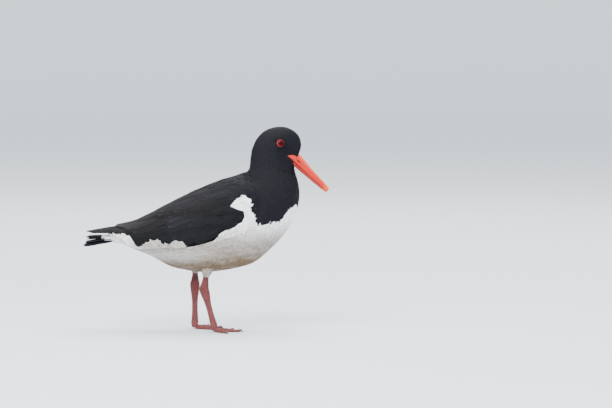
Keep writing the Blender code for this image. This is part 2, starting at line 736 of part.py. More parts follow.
def build_eyes(head, into, hidden):
    """Each eyeball and its bare ring, in a socket bored into the head."""
    for side_name, side in (("right", -1), ("left", 1)):
        centre, turn = eye_frame(side)
        bpy.ops.mesh.primitive_uv_sphere_add(segments=18, ring_count=10, radius=EYEBALL * MM)
        eye = bpy.context.object
        eye.name = eye.data.name = f"eye_{side_name}"
        eye.data.transform(Matrix.Translation(centre * MM) @ turn)
        eye.data.materials.append(material("iris"))
        eye.data.shade_smooth()
        for other in eye.users_collection:
            other.objects.unlink(eye)
        into.objects.link(eye)
        ring = turned(f"eyelid_{side_name}", ring_profile(), side, "eye_ring", into)
        plug = turned_solid(f"socket_{side_name}", [(SOCKET, -EYEBALL - GAP), (SOCKET, 20.0)], side, hidden)
        subtract(head, plug)
        bpy.data.objects.remove(plug, do_unlink=True)
    keep_largest(head)


def turned_solid(name, profile, side, hidden):
    """A closed plug turned about the eye's axis, for cutting the socket."""
    centre, turn = eye_frame(side)
    angles = np.linspace(0, 2 * np.pi, 24, endpoint=False)
    rings = [[(r * np.cos(a), r * np.sin(a), h) for a in angles] for r, h in profile]
    points, faces = loft(rings)
    points = np.array([(turn @ Vector(p)) + centre for p in points])
    plug = add_object(name, points, faces, "iris", hidden)
    plug.hide_render = True
    return plug


def tube(path, depths, widths, around=12):
    """A limb along a path in the xz plane at a constant reach, oval in section."""
    path = np.asarray(path, float)
    ahead = np.gradient(path, axis=0)
    ahead /= np.linalg.norm(ahead, axis=1, keepdims=True)
    fore = np.cross((0, 1, 0), ahead)
    angles = np.linspace(0, 2 * np.pi, around, endpoint=False)
    rings = [
        point + np.outer(np.cos(angles) * depth, f) + np.outer(np.sin(angles) * width, (0, 1, 0))
        for point, f, depth, width in zip(path, fore, depths, widths)
    ]
    return loft(rings)


def toe_direction(angle, side):
    """Unit direction of a toe on the floor, its angle counted outwards from the midline as negative."""
    a = np.radians(angle) * -side
    return np.array([np.cos(a), np.sin(a), 0.0])


def toe_solid(angle, length, half, side, joint):
    """One toe, with a swelling at each joint and a flat sole on the floor."""
    s = TOE_SHARES
    ahead = toe_direction(angle, side)
    size = half * (1 - TOE_TAPER * s) * (1 + TOE_SWELL * np.cos(2 * np.pi * 3 * s))
    path = joint + ahead * (length * s)[:, None]
    path[:, 2] = size - TOE_SINK + TOE_RISE * np.clip(1 - s / TOE_RISE_END, 0, 1) ** 2
    sideways = np.cross((0, 0, 1), ahead)
    angles = np.linspace(0, 2 * np.pi, TOE_POINTS, endpoint=False)
    rings = [
        point + np.outer(np.cos(angles) * r, (0, 0, 1)) + np.outer(np.sin(angles) * r * TOE_SPREAD, sideways)
        for point, r in zip(path, size)
    ]
    points, faces = loft(rings)
    points[:, 2] = np.maximum(points[:, 2], 0.0)
    return points, faces


def claw_solid(angle, length, half, side, joint):
    """A short blunt claw past the end of a toe."""
    ahead = toe_direction(angle, side)
    end = joint + ahead * length
    sideways = np.cross((0, 0, 1), ahead)
    angles = np.linspace(0, 2 * np.pi, TOE_POINTS, endpoint=False)
    rings = []
    for share, size in CLAW_SHAPE:
        r = half * size
        lift = r + CLAW_LIFT[0] + CLAW_LIFT[1] * (1 - share)
        centre = end + ahead * (GAP + CLAW * share) + (0, 0, lift)
        circle = np.outer(np.cos(angles) * r, (0, 0, 1)) + np.outer(np.sin(angles) * r * CLAW_SPREAD, sideways)
        rings.append(centre + circle)
    return loft(rings)


def web_solid(side, joint):
    """The short web between two toes, a thin wedge from the joint."""
    low, high_joint, high_rim = WEB_HEIGHTS
    corners = [joint] + [joint + toe_direction(angle, side) * reach for angle, reach in WEB]
    rings = [
        [corner + (0, 0, low) for corner in corners],
        [corner + (0, 0, high_joint if corner is joint else high_rim) for corner in corners],
    ]
    return loft(rings)


def build_leg(name, top, ankle, joint, into):
    """The bare leg from under the belly to the joint over its toes."""
    table = np.vstack([KNEE, SHIN])
    path = np.vstack([top + (ankle - top) * KNEE[:, :1], ankle + (joint - ankle) * SHIN[:, :1]])
    leg = add_object(f"leg_{name}", *tube(path, table[:, 1], table[:, 2]), "leg_skin", into)
    return leg, path[-1]


def build_foot(name, side, end, into):
    """Toes, web and joint as one node, and a claw for each toe."""
    floor_joint = np.array([end[0], end[1], 0.0])
    toe_joint = floor_joint + (TOE_START, 0, 0)
    path = end + KNUCKLE[:, [0, 0, 1]] * (1, 0, 1)
    points, faces = tube(path, KNUCKLE[:, 2], KNUCKLE[:, 3])
    points[:, 2] = np.maximum(points[:, 2], 0.0)
    shapes = [toe_solid(angle, length, half, side, toe_joint) for _, angle, length, half in TOES]
    shapes += [web_solid(side, floor_joint), (points, faces)]
    foot = joined(f"foot_{name}", shapes, "leg_skin", into, "MANIFOLD")
    for toe, angle, length, half in TOES:
        claw = claw_solid(angle, length, half, side, toe_joint)
        add_object(f"claw_{name}_{toe}", *claw, "claw_horn", into)
    return foot


def build_thigh(name, top, ankle, leg, hull, into, hidden):
    """The feathered thigh: a collar round the leg, cut clear of leg and belly."""
    path = top + (ankle - top) * THIGH[:, :1]
    plume = tube(path, THIGH[:, 1], THIGH[:, 2], THIGH_POINTS)
    thigh = add_object(f"thigh_{name}", *plume, "white_plumage", into)
    cut_clear(thigh, [leg], hidden)
    subtract(thigh, hull)
    keep_largest(thigh)


def build_legs(hull, into, hidden):
    for name, (top, ankle, joint, side, reach) in LEGS.items():
        top, ankle, joint = (np.array([x, side * reach, z]) for x, z in (top, ankle, joint))
        leg, end = build_leg(name, top, ankle, joint, into)
        foot = build_foot(name, side, end, into)
        cut_clear(leg, [foot], hidden, solver="MANIFOLD")
        build_thigh(name, top, ankle, leg, hull, into, hidden)
        subtract(leg, hull)
        keep_largest(leg)


def main():
    clear_scene()
    bird = collection("oystercatcher")
    hidden = collection("cutters", hidden=True)
    hull = body_hull(hidden)
    body = build_body(bird)
    build_bill(body["head"], bird, hidden)
    build_eyes(body["head"], bird, hidden)
    build_tail(body["rump"], bird, hidden)
    build_wings(hull, bird)
    build_legs(hull, bird, hidden)
    bpy.data.objects.remove(hull, do_unlink=True)


main()
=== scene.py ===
"""Finishes a life-size Eurasian oystercatcher: one skin, its coat of feathers, bill, eyes and bare legs.

The bird faces +X, its left is +Y and it stands on z = 0. Tables are in millimetres; MM makes them metres.
"""

import functools

import bmesh
import bpy
import numpy as np
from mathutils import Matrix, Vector
from mathutils.kdtree import KDTree


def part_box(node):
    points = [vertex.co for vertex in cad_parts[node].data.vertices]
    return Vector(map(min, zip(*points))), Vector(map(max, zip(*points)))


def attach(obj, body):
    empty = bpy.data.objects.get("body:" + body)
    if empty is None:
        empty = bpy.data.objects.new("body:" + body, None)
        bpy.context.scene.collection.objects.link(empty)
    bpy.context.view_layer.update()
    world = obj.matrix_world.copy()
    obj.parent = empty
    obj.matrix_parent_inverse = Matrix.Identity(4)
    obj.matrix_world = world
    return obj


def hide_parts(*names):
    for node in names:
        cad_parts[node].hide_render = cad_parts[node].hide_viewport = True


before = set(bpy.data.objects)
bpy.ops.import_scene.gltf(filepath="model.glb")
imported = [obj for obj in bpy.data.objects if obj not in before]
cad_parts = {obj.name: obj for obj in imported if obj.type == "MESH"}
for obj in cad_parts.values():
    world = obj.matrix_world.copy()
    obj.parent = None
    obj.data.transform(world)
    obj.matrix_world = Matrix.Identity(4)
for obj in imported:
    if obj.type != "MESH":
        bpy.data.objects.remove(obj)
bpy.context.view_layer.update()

bl_info = {
    "name": "Oystercatcher",
    "version": (1, 0, 0),
    "blender": (4, 5, 0),
    "location": "3D View > Sidebar > Oystercatcher",
    "description": "Skin, feathers, bill, eyes and legs of a standing oystercatcher",
    "category": "Add Mesh",
}

MM = 0.001
SEED = 41
FULL_TURN = 2 * np.pi
UP = np.array([0.0, 0.0, 1.0])
ACROSS = np.array([0.0, 1.0, 0.0])
SIDES = {"right": -1, "left": 1}
ROOT = "root"

# Body outline, tail base to brow: back point (x, z), belly point (x, z), half width.
BODY = np.array([
    (-124.0, 139.6, -124.0, 125.4, 14.0), (-113.4, 142.8, -113.4, 123.6, 17.5),
    (-92.4, 152.2, -92.4, 114.8, 24.5), (-71.4, 163.1, -71.4, 102.4, 31.5), (-50.4, 175.0, -50.4, 91.0, 37.0),
    (-29.4, 186.2, -29.4, 85.7, 41.0), (-8.4, 196.0, -8.4, 82.6, 43.5), (9.8, 204.6, 14.0, 83.6, 45.0),
    (28.0, 212.4, 42.0, 88.2, 45.5), (42.0, 218.0, 67.2, 96.2, 45.0), (51.8, 221.8, 89.6, 114.4, 42.5),
    (57.4, 224.2, 109.2, 135.4, 38.5), (60.2, 227.0, 121.8, 155.4, 33.5), (61.3, 231.0, 128.8, 175.0, 28.5),
    (61.7, 235.0, 130.9, 193.2, 24.8), (62.1, 239.6, 129.2, 207.2, 22.4), (62.9, 245.2, 126.2, 217.6, 20.8),
    (65.0, 255.6, 125.0, 222.6, 18.8), (71.4, 269.5, 124.3, 225.6, 17.8), (82.6, 280.3, 123.9, 227.3, 17.2),
    (96.6, 285.6, 123.7, 228.2, 16.6), (110.6, 285.6, 123.6, 228.8, 15.4), (121.8, 281.0, 123.5, 229.3, 13.0),
    (129.6, 273.6, 123.5, 229.6, 10.4), (133.1, 263.9, 123.5, 229.8, 8.2), (132.6, 255.8, 123.5, 229.9, 6.4),
    (130.3, 249.6, 123.5, 230.0, 4.8),
])
BODY_FULLNESS = 0.92
# Hollow between eye and bill: row and angle, how far it spreads over each, and the share of width it takes.
LORE = (21.4, 2.05, 2.9, 0.52, 0.38)
RUMP_ROW, MANTLE_ROW, NECK_ROW, HEAD_ROW, BROW_ROW = 3.0, 9.0, 13.6, 16.3, 26.0

# Folded wing, bend to tip: x, then height and reach from the midline of its upper edge and of its lower edge.
WING = np.array([
    (66.0, 205.0, 31.5, 152.6, 43.4), (54.6, 212.0, 24.5, 142.8, 45.4), (40.6, 213.6, 17.5, 138.6, 46.2),
    (22.4, 208.0, 13.0, 133.0, 46.2), (2.8, 200.2, 9.0, 126.0, 45.4), (-16.8, 192.0, 5.0, 120.8, 43.6),
    (-36.4, 182.3, 2.0, 119.2, 40.6), (-57.4, 171.5, 0.8, 119.0, 36.6), (-78.4, 160.4, 0.8, 117.8, 31.8),
    (-95.2, 152.6, 0.8, 117.6, 27.4), (-105.0, 149.4, 0.8, 121.6, 24.4), (-114.8, 147.0, 0.8, 129.0, 21.0),
    (-124.6, 145.2, 0.8, 133.4, 18.0), (-134.4, 143.4, 0.8, 135.0, 15.0), (-148.4, 141.2, 0.8, 135.6, 12.0),
    (-158.2, 139.6, 0.8, 136.2, 10.0), (-168.0, 138.4, 0.8, 136.8, 8.0),
])
WING_FULLNESS = 0.86
WING_REAR, WING_HEAD = -175.0, 70.0
# Share of their height that the feathers lose towards the wing's upper edge.
TOP_THINNING = 0.2

# Where white plumage meets black, in the side view: lower edge of the black breast (x, z),
# then the white shoulder patch's rear and front edges (z, x), and where it runs out at the bottom.
BREAST_EDGE = np.array([
    (60.0, 150.0), (72.4, 149.2), (75.2, 154.3), (81.6, 150.6), (87.4, 152.9),
    (101.6, 155.0), (108.8, 161.4), (115.9, 171.4), (125.9, 176.4), (131.0, 171.5),
])
PATCH_REAR = np.array([
    (131.6, 16.8), (139.7, 20.2), (143.5, 26.6), (146.4, 37.4), (154.3, 50.1), (161.4, 54.5),
    (170.5, 54.5), (173.0, 46.0), (178.1, 34.4), (186.0, 41.6), (193.0, 53.8),
])
PATCH_FRONT = np.array([(149.2, 72.4), (164.2, 69.4), (172.8, 62.3), (185.0, 64.4), (193.0, 53.8)])
PATCH_LOW, PATCH_HIGH = 128.0, 193.0
# The rump is white behind this x.
WHITE_RUMP = -82.0

# Upper edge of the white flank feathers that lap over the folded wing, x and z.
FLANK_EDGE = np.array([
    (-150.0, 132.6), (-143.0, 135.8), (-126.0, 136.8), (-113.4, 136.6), (-106.0, 133.6), (-102.0, 130.0),
    (-98.6, 124.0), (-95.0, 119.6), (-89.0, 120.6), (-82.0, 127.4), (-79.0, 124.4), (-75.9, 130.4),
    (-70.5, 127.0), (-65.0, 133.2), (-61.8, 127.0), (-59.4, 121.4), (-55.0, 126.4), (-50.5, 122.4),
    (-46.0, 127.6), (-41.0, 130.8), (-36.0, 127.6), (-30.3, 129.8), (-27.6, 124.0), (-25.4, 118.8),
    (-16.9, 122.0), (-8.0, 119.6), (-0.8, 122.0), (9.9, 127.2), (17.9, 134.2), (22.0, 140.9),
    (29.0, 144.4), (36.7, 146.2), (44.0, 149.6), (50.1, 154.3), (66.0, 155.0),
])


def unit(v):
    """Each vector divided by its own length."""
    return v / np.maximum(np.linalg.norm(v, axis=-1, keepdims=True), 1e-12)


def dot(a, b):
    """The dot product over the last axis, kept as a column."""
    return (a * b).sum(-1, keepdims=True)


def smooth(low, high, x):
    """0 below low, 1 above high, and the cubic 3t^2 - 2t^3 between them."""
    t = np.clip((np.asarray(x, float) - low) / (high - low), 0.0, 1.0)
    return t * t * (3 - 2 * t)


def signed_power(value, power):
    """The value's size raised to a power, with its sign kept."""
    return np.sign(value) * np.abs(value) ** power


def each(values):
    """A value for each feather, shaped to spread over the feather's rows and columns."""
    return values[:, None, None]


def circle(count):
    """Evenly spaced angles of one full turn."""
    return np.linspace(0, FULL_TURN, count, endpoint=False)


def spline(table, at):
    """Rows of a table read at fractional row numbers, along a Catmull-Rom curve."""
    at = np.clip(np.asarray(at, float), 0, len(table) - 1)
    low = np.minimum(at.astype(int), len(table) - 2)
    t = (at - low)[..., None]
    ends = np.vstack([2 * table[0] - table[1], table, 2 * table[-1] - table[-2]])
    a, b, c, d = (ends[low + i] for i in range(4))
    return 0.5 * (2 * b + (c - a) * t + (2 * a - 5 * b + 4 * c - d) * t**2 + (3 * b - a - 3 * c + d) * t**3)


def oval(table, row, angle, fullness=1.0):
    """Rings along a table: at each row an ellipse, its half depth from back point to belly point (angle 0 to
    pi), its half width along y, with the sine raised to a power that fills the flanks."""
    row, angle = np.broadcast_arrays(np.asarray(row, float), np.asarray(angle, float))
    back_x, back_z, belly_x, belly_z, width = np.moveaxis(spline(table, row), -1, 0)
    c, s = np.cos(angle), signed_power(np.sin(angle), fullness)
    x = (back_x + belly_x) / 2 + c * (back_x - belly_x) / 2
    z = (back_z + belly_z) / 2 + c * (back_z - belly_z) / 2
    return np.stack([x, s * width, z], -1)


def body_point(row, angle):
    """The body's surface: its oval rings, less wide by a Gaussian hollow between eye and bill."""
    at_row, at_angle, over_rows, over_angles, depth = LORE
    near = ((row - at_row) / over_rows) ** 2 + ((np.arccos(np.cos(angle)) - at_angle) / over_angles) ** 2
    point = oval(BODY, row, angle, BODY_FULLNESS)
    point[..., 1] *= 1 - depth * np.exp(-near)
    return point


def wing_edges(x):
    """Height and reach of the folded wing's upper edge, then of its lower edge, read along x."""
    return [np.interp(-np.asarray(x, float), -WING[:, 0], column) for column in WING.T[1:]]


def wing_point(x, t):
    """The folded right wing's surface, mirrored for the left one by its caller: a quarter of a superellipse
    from the lower edge (t = 0) to the upper edge (t = 1) at each x."""
    x, t = np.broadcast_arrays(np.asarray(x, float), np.clip(t, 0.0, 1.0))
    top_z, top_y, low_z, low_y = wing_edges(x)
    turn = 0.5 * np.pi * (1 - t)
    y = top_y + (low_y - top_y) * np.sin(turn) ** WING_FULLNESS
    z = low_z + (top_z - low_z) * np.maximum(np.cos(turn), 0) ** WING_FULLNESS
    return np.stack([x, -y, z], -1)


def wing_lifted(x, t, lift):
    """A point over the folded right wing, moved out along the surface's normal by the lift."""
    x, t, lift = np.broadcast_arrays(np.asarray(x, float), np.clip(t, 0.0, 1.0), np.asarray(lift, float))
    along = wing_point(x + 4.0, t) - wing_point(x - 4.0, t)
    inner = np.clip(t, 0.06, 0.94)
    over = wing_point(x, inner + 0.05) - wing_point(x, inner - 0.05)
    return wing_point(x, t) + unit(np.cross(along, over)) * lift[..., None]


def wing_layered(x, t, lift):
    """As wing_lifted, with the lift less by a share towards the upper edge, where the layers thin out."""
    return wing_lifted(x, t, lift * (1 - TOP_THINNING * smooth(0.75, 1.0, t)))


def wing_share(x, z):
    """The share t of the wing's depth at which its surface has that height: wing_point's z turned round."""
    top_z, _, low_z, _ = wing_edges(x)
    rise = np.clip((z - low_z) / (top_z - low_z), 0.0, 1.0) ** (1 / WING_FULLNESS)
    return 1 - np.arccos(rise) / (0.5 * np.pi)


def frames(surface, u, v, u_end, step=0.02):
    """Point, unit normal and both derivatives of a surface at (u, v), by central differences that stay below
    u_end along u. The normal points along du x dv, which is outward on the body and on the wing."""
    before, after = np.clip(u - step, None, u_end - step), np.clip(u + step, None, u_end)
    du = (surface(after, v) - surface(before, v)) / (after - before)[..., None]
    dv = (surface(u, v + step) - surface(u, v - step)) / (2 * step)
    return surface(u, v), unit(np.cross(du, dv)), du, dv


# Mesh making.

BAKE_MAP = "OFBake"
# Depths inside the white plumage are marked up to this, and as far below zero in the black.
MARK_DEPTH = 6.0
VANE_SHARP, BILL_SHARP = 50, 70


def new_object(name, points, groups, material):
    """A mesh object from points in millimetres and arrays of polygons, one array for each corner count."""
    corners = np.concatenate([np.asarray(g).ravel() for g in groups]).astype(np.int32)
    sizes = np.concatenate([np.full(len(g), np.asarray(g).shape[1]) for g in groups])
    starts = np.concatenate([[0], np.cumsum(sizes)[:-1]]).astype(np.int32)
    mesh = bpy.data.meshes.new(name)
    mesh.vertices.add(len(points))
    mesh.vertices.foreach_set("co", (np.asarray(points) * MM).astype(np.float32).ravel())
    mesh.loops.add(len(corners))
    mesh.loops.foreach_set("vertex_index", corners)
    mesh.polygons.add(len(starts))
    mesh.polygons.foreach_set("loop_start", starts)
    mesh.update(calc_edges=True)
    mesh.polygons.foreach_set("use_smooth", np.ones(len(starts), bool))
    mesh.materials.append(material)
    obj = bpy.data.objects.new(name, mesh)
    bpy.context.scene.collection.objects.link(obj)
    return obj


def vertex_places(mesh):
    """Every vertex of a mesh, in metres."""
    place = np.empty(len(mesh.vertices) * 3, np.float32)
    mesh.vertices.foreach_get("co", place)
    return place.reshape(-1, 3)


def put_attribute(obj, name, values):
    """A value for each point: a number, or three numbers as a vector."""
    values = np.asarray(values, np.float32)
    kind, field = ("FLOAT", "value") if values.ndim == 1 else ("FLOAT_VECTOR", "vector")
    attribute = obj.data.attributes.new(name, kind, "POINT")
    attribute.data.foreach_set(field, values.ravel())


def corner_points(mesh):
    """The vertex at each corner of a mesh's polygons."""
    corners = np.empty(len(mesh.loops), np.int32)
    mesh.loops.foreach_get("vertex_index", corners)
    return corners


def put_uv(obj, uv, for_corners=False):
    """The bake map, read from one (u, v) for each point or for each corner."""
    uv = np.asarray(uv, np.float32)
    uv = uv if for_corners else uv[corner_points(obj.data)]
    layer = obj.data.uv_layers.get(BAKE_MAP) or obj.data.uv_layers.new(name=BAKE_MAP)
    layer.uv.foreach_set("vector", uv.ravel())


def put_tone(obj, point, tone, over_wing):
    """The skin's marks: each point's depth inside the white plumage, and its tone, for all or for each."""
    put_attribute(obj, "white", np.clip(white_depth(point, over_wing), -MARK_DEPTH, MARK_DEPTH))
    put_attribute(obj, "tone", np.broadcast_to(tone, point.shape))


def sharpen(obj, degrees):
    """Edges that turn by more than the angle are shaded sharp."""
    obj.data.set_sharp_from_angle(angle=np.radians(degrees))


def finish_piece(obj, slot, *replaced):
    """Sets a finished piece on the bird's one body and hides the nodes that it stands for. Its slot is not
    used.
    """
    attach(obj, ROOT)
    if replaced:
        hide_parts(*replaced)


def bake_modifiers(obj):
    """Replaces a mesh by its evaluated self and drops its modifiers."""
    bpy.context.view_layer.update()
    graph = bpy.context.evaluated_depsgraph_get()
    mesh = bpy.data.meshes.new_from_object(obj.evaluated_get(graph))
    old = obj.data
    obj.modifiers.clear()
    obj.data = mesh
    bpy.data.meshes.remove(old)


def outward(obj):
    """Turns a closed mesh's faces outwards."""
    work = bmesh.new()
    work.from_mesh(obj.data)
    bmesh.ops.recalc_face_normals(work, faces=work.faces)
    work.to_mesh(obj.data)
    work.free()


def ring_loft(rings):
    """Points and polygons of a closed solid through rings of equal count, with a fan at each end."""
    count, around = rings.shape[:2]
    points = np.vstack([rings.reshape(-1, 3), rings[0].mean(0), rings[-1].mean(0)])
    at = np.arange(count * around).reshape(count, around)
    after = np.roll(at, -1, axis=1)
    quads = np.stack([at[:-1], after[:-1], after[1:], at[1:]], -1).reshape(-1, 4)
    first = np.stack([np.full(around, count * around), after[0], at[0]], -1)
    last = np.stack([np.full(around, count * around + 1), at[-1], after[-1]], -1)
    return points, [quads, np.vstack([first, last])]


def solid(name, rings, material):
    """A closed mesh through rings, its faces turned outwards."""
    obj = new_object(name, *ring_loft(rings), material)
    outward(obj)
    return obj


def grid_quads(at):
    """Quads between the neighbours of a grid of point numbers."""
    return np.stack([at[:-1, :-1], at[1:, :-1], at[1:, 1:], at[:-1, 1:]], -1).reshape(-1, 4)


def vane_faces(count, rows, columns):
    """Polygons of many closed vanes, each a grid whose rim is also the rim of a flat underside."""
    at = np.arange(rows * columns).reshape(rows, columns)
    under = np.stack([at[:-2, 0], at[:-2, -1], at[1:-1, -1], at[1:-1, 0]], -1)
    tip = np.concatenate([[at[-2, 0], at[-2, -1]], at[-1, ::-1]])[None]
    offset = each(np.arange(count) * rows * columns)
    return [(group[None] + offset).reshape(-1, group.shape[1])
            for group in (np.vstack([grid_quads(at), under]), tip, at[:1])]


def vane_object(name, grid, tone, uv, shares, lengths, material):
    """One mesh from a grid of points (vane, row, column, xyz). Each vane's tone is (second colour, random
    shade, fringe), and its shares are where each of its points lies along and across the vane."""
    obj = new_object(name, grid.reshape(-1, 3), vane_faces(*grid.shape[:3]), material)
    vane = np.broadcast_arrays(*shares, each(lengths), grid[..., 0])[:3]
    put_attribute(obj, "vane", np.stack(vane, -1).reshape(-1, 3))
    tone = tone[:, None, None] if tone.ndim == 2 else tone
    put_attribute(obj, "tone", np.broadcast_to(tone, grid.shape).reshape(-1, 3))
    put_uv(obj, uv.reshape(-1, 2))
    sharpen(obj, VANE_SHARP)
    return obj


# Small feathers over a surface.

# Across a small feather, and along it: share of length, share of full width, height of its arch.
BARBS = np.array([-1.0, -0.55, 0.0, 0.55, 1.0])
SMALL_S = np.array([0.0, 0.36, 0.66, 0.87, 1.0])
SMALL_WIDTH = np.array([0.40, 0.88, 1.0, 0.86, 0.56])
SMALL_ARCH = np.array([0.6, 1.0, 0.9, 0.6, 0.2])
SWAY, ARCH = 0.12, 0.20
PATCH_SIZE = 0.003
CROWDING, ELBOW_ROOM = 5.0, 0.86


def spread(surface, u_range, v_range, spacing, chance, allow=None, cells=(60, 60)):
    """Roots spread evenly over a surface, no two nearer than the spacing there, a number or a function of
    place: candidates drawn at random by area over spacing squared, then thinned in turn."""
    gap = spacing if callable(spacing) else lambda u, v: spacing + 0 * u
    u, v = (np.linspace(a, b, n + 1) for (a, b), n in zip((u_range, v_range), cells))
    corner = surface(u[:, None], v[None, :])
    along, over = corner[1:, :-1] - corner[:-1, :-1], corner[:-1, 1:] - corner[:-1, :-1]
    mid_u, mid_v = np.meshgrid((u[1:] + u[:-1]) / 2, (v[1:] + v[:-1]) / 2, indexing="ij")
    weight = np.linalg.norm(np.cross(along, over), axis=-1) / gap(mid_u, mid_v) ** 2
    total = int(CROWDING * weight.sum())
    picked = chance.choice(weight.size, total, p=(weight / weight.sum()).ravel())
    i, j = np.unravel_index(picked, weight.shape)
    at_u = u[i] + chance.random(total) * (u[1] - u[0])
    at_v = v[j] + chance.random(total) * (v[1] - v[0])
    point = surface(at_u, at_v)
    if allow:
        kept = allow(at_u, at_v, point)
        at_u, at_v, point = at_u[kept], at_v[kept], point[kept]
    reach = gap(at_u, at_v) * ELBOW_ROOM
    tree = KDTree(len(point))
    for index, place in enumerate(point):
        tree.insert(place, index)
    tree.balance()
    free = np.ones(len(point), bool)
    for index, place in enumerate(point):
        if free[index]:
            free[[hit[1] for hit in tree.find_range(place, reach[index])]] = False
            free[index] = True
    return at_u[free], at_v[free]


def bend_along(surface, u_range, u, v, normal, du, dv, direction, step=0.6):
    """How fast the surface turns away along a tangent: the angle its normal turns by over a step."""
    a, b, c = dot(du, du), dot(du, dv), dot(dv, dv)
    p, q = dot(direction, du), dot(direction, dv)
    det = np.maximum(a * c - b * b, 1e-9)
    go_u, go_v = ((c * p - b * q) / det)[:, 0] * step, ((a * q - b * p) / det)[:, 0] * step
    there = frames(surface, np.clip(u + go_u, *u_range), v + go_v, u_range[1])[1]
    return np.clip(np.arcsin(np.clip(dot(there - normal, direction)[:, 0], -1, 1)) / step, -0.08, 0.12)


def small_vanes(root, normal, along, length, half, bend, roll, lift, rise, tooth, chance):
    """Feathers that follow the surface, with where their points lie along and across them: the shaft is an
    arc of the surface's own curvature, raised from lift at the root to lift + rise at the tip, the vane
    arched across it, every second barb of the tip cut back by tooth. A measure is one number or one for each
    feather."""
    count, columns = len(root), len(BARBS)
    tooth = np.broadcast_to(tooth, count)[:, None]
    length, half, bend, roll, lift, rise = (
        each(np.broadcast_to(value, count)) for value in (length, half, bend, roll, lift, rise))
    s = np.zeros((count, 1, 1)) + np.broadcast_to(SMALL_S[:, None], (len(SMALL_S), columns))
    ragged = chance.uniform(0.5, 1.3, (count, columns)) * (np.arange(columns) % 2) + 0.35 * BARBS**2
    s[:, -1] -= tooth * ragged
    s[:, -2] -= 0.55 * tooth * ragged + 0.03 * BARBS**2
    across = BARBS * SMALL_WIDTH[:, None] * half
    across = across + SWAY * half * chance.uniform(-1, 1, (count, 1, 1)) * s**2
    turn = np.where(np.abs(bend) < 1e-4, 1e-4, bend)
    swung = turn * (s * length)
    arch = ARCH * half * SMALL_ARCH[:, None] * (1 - BARBS**2)
    height = lift + rise * s**1.5 + arch - 0.5 * roll * across**2
    forth = np.sin(swung) / turn + height * np.sin(swung)
    out = height * np.cos(swung) - (1 - np.cos(swung)) / turn
    grid = each(root)
    for share, axis in ((forth, along), (across, np.cross(normal, along)), (out, normal)):
        grid = grid + share[..., None] * each(axis)
    return grid, (s, np.broadcast_to(BARBS, s.shape))


def root_patches(centre, shares):
    """Each feather's patch of the bake map, PATCH_SIZE across, about its root's place on the unwrap."""
    along, across = shares
    u = each(centre[:, 0]) + PATCH_SIZE * 0.5 * across
    v = each(centre[:, 1]) + PATCH_SIZE * (along - 0.5)
    return np.stack([u, v], -1)


def white_tone(soil, chance):
    """Tones of white feathers: how far each is darkened by painted shade, a random shade, and no worn fringe.
    """
    return np.stack([soil, chance.random(len(soil)), 0 * soil], -1)


def add_small(name, grid, shares, tone, centre, length, colour, *replaced):
    """One piece of small feathers, white or black, each feather on its own patch of the bake map."""
    uv = root_patches(centre, shares)
    obj = vane_object(name, grid, tone, uv, shares, length, plumage(colour))
    finish_piece(obj, f"{colour}_plumage", *replaced)


def unwrap(row, angle):
    """The skin's own unwrap: round the body along u, tail to brow along v."""
    return np.stack([0.01 + 0.98 * ((angle / FULL_TURN) % 1.0), 0.01 + 0.98 * row / BROW_ROW], -1)


# Finishes.

BARB_PITCH, BARB_SLANT = 0.55, 2.7


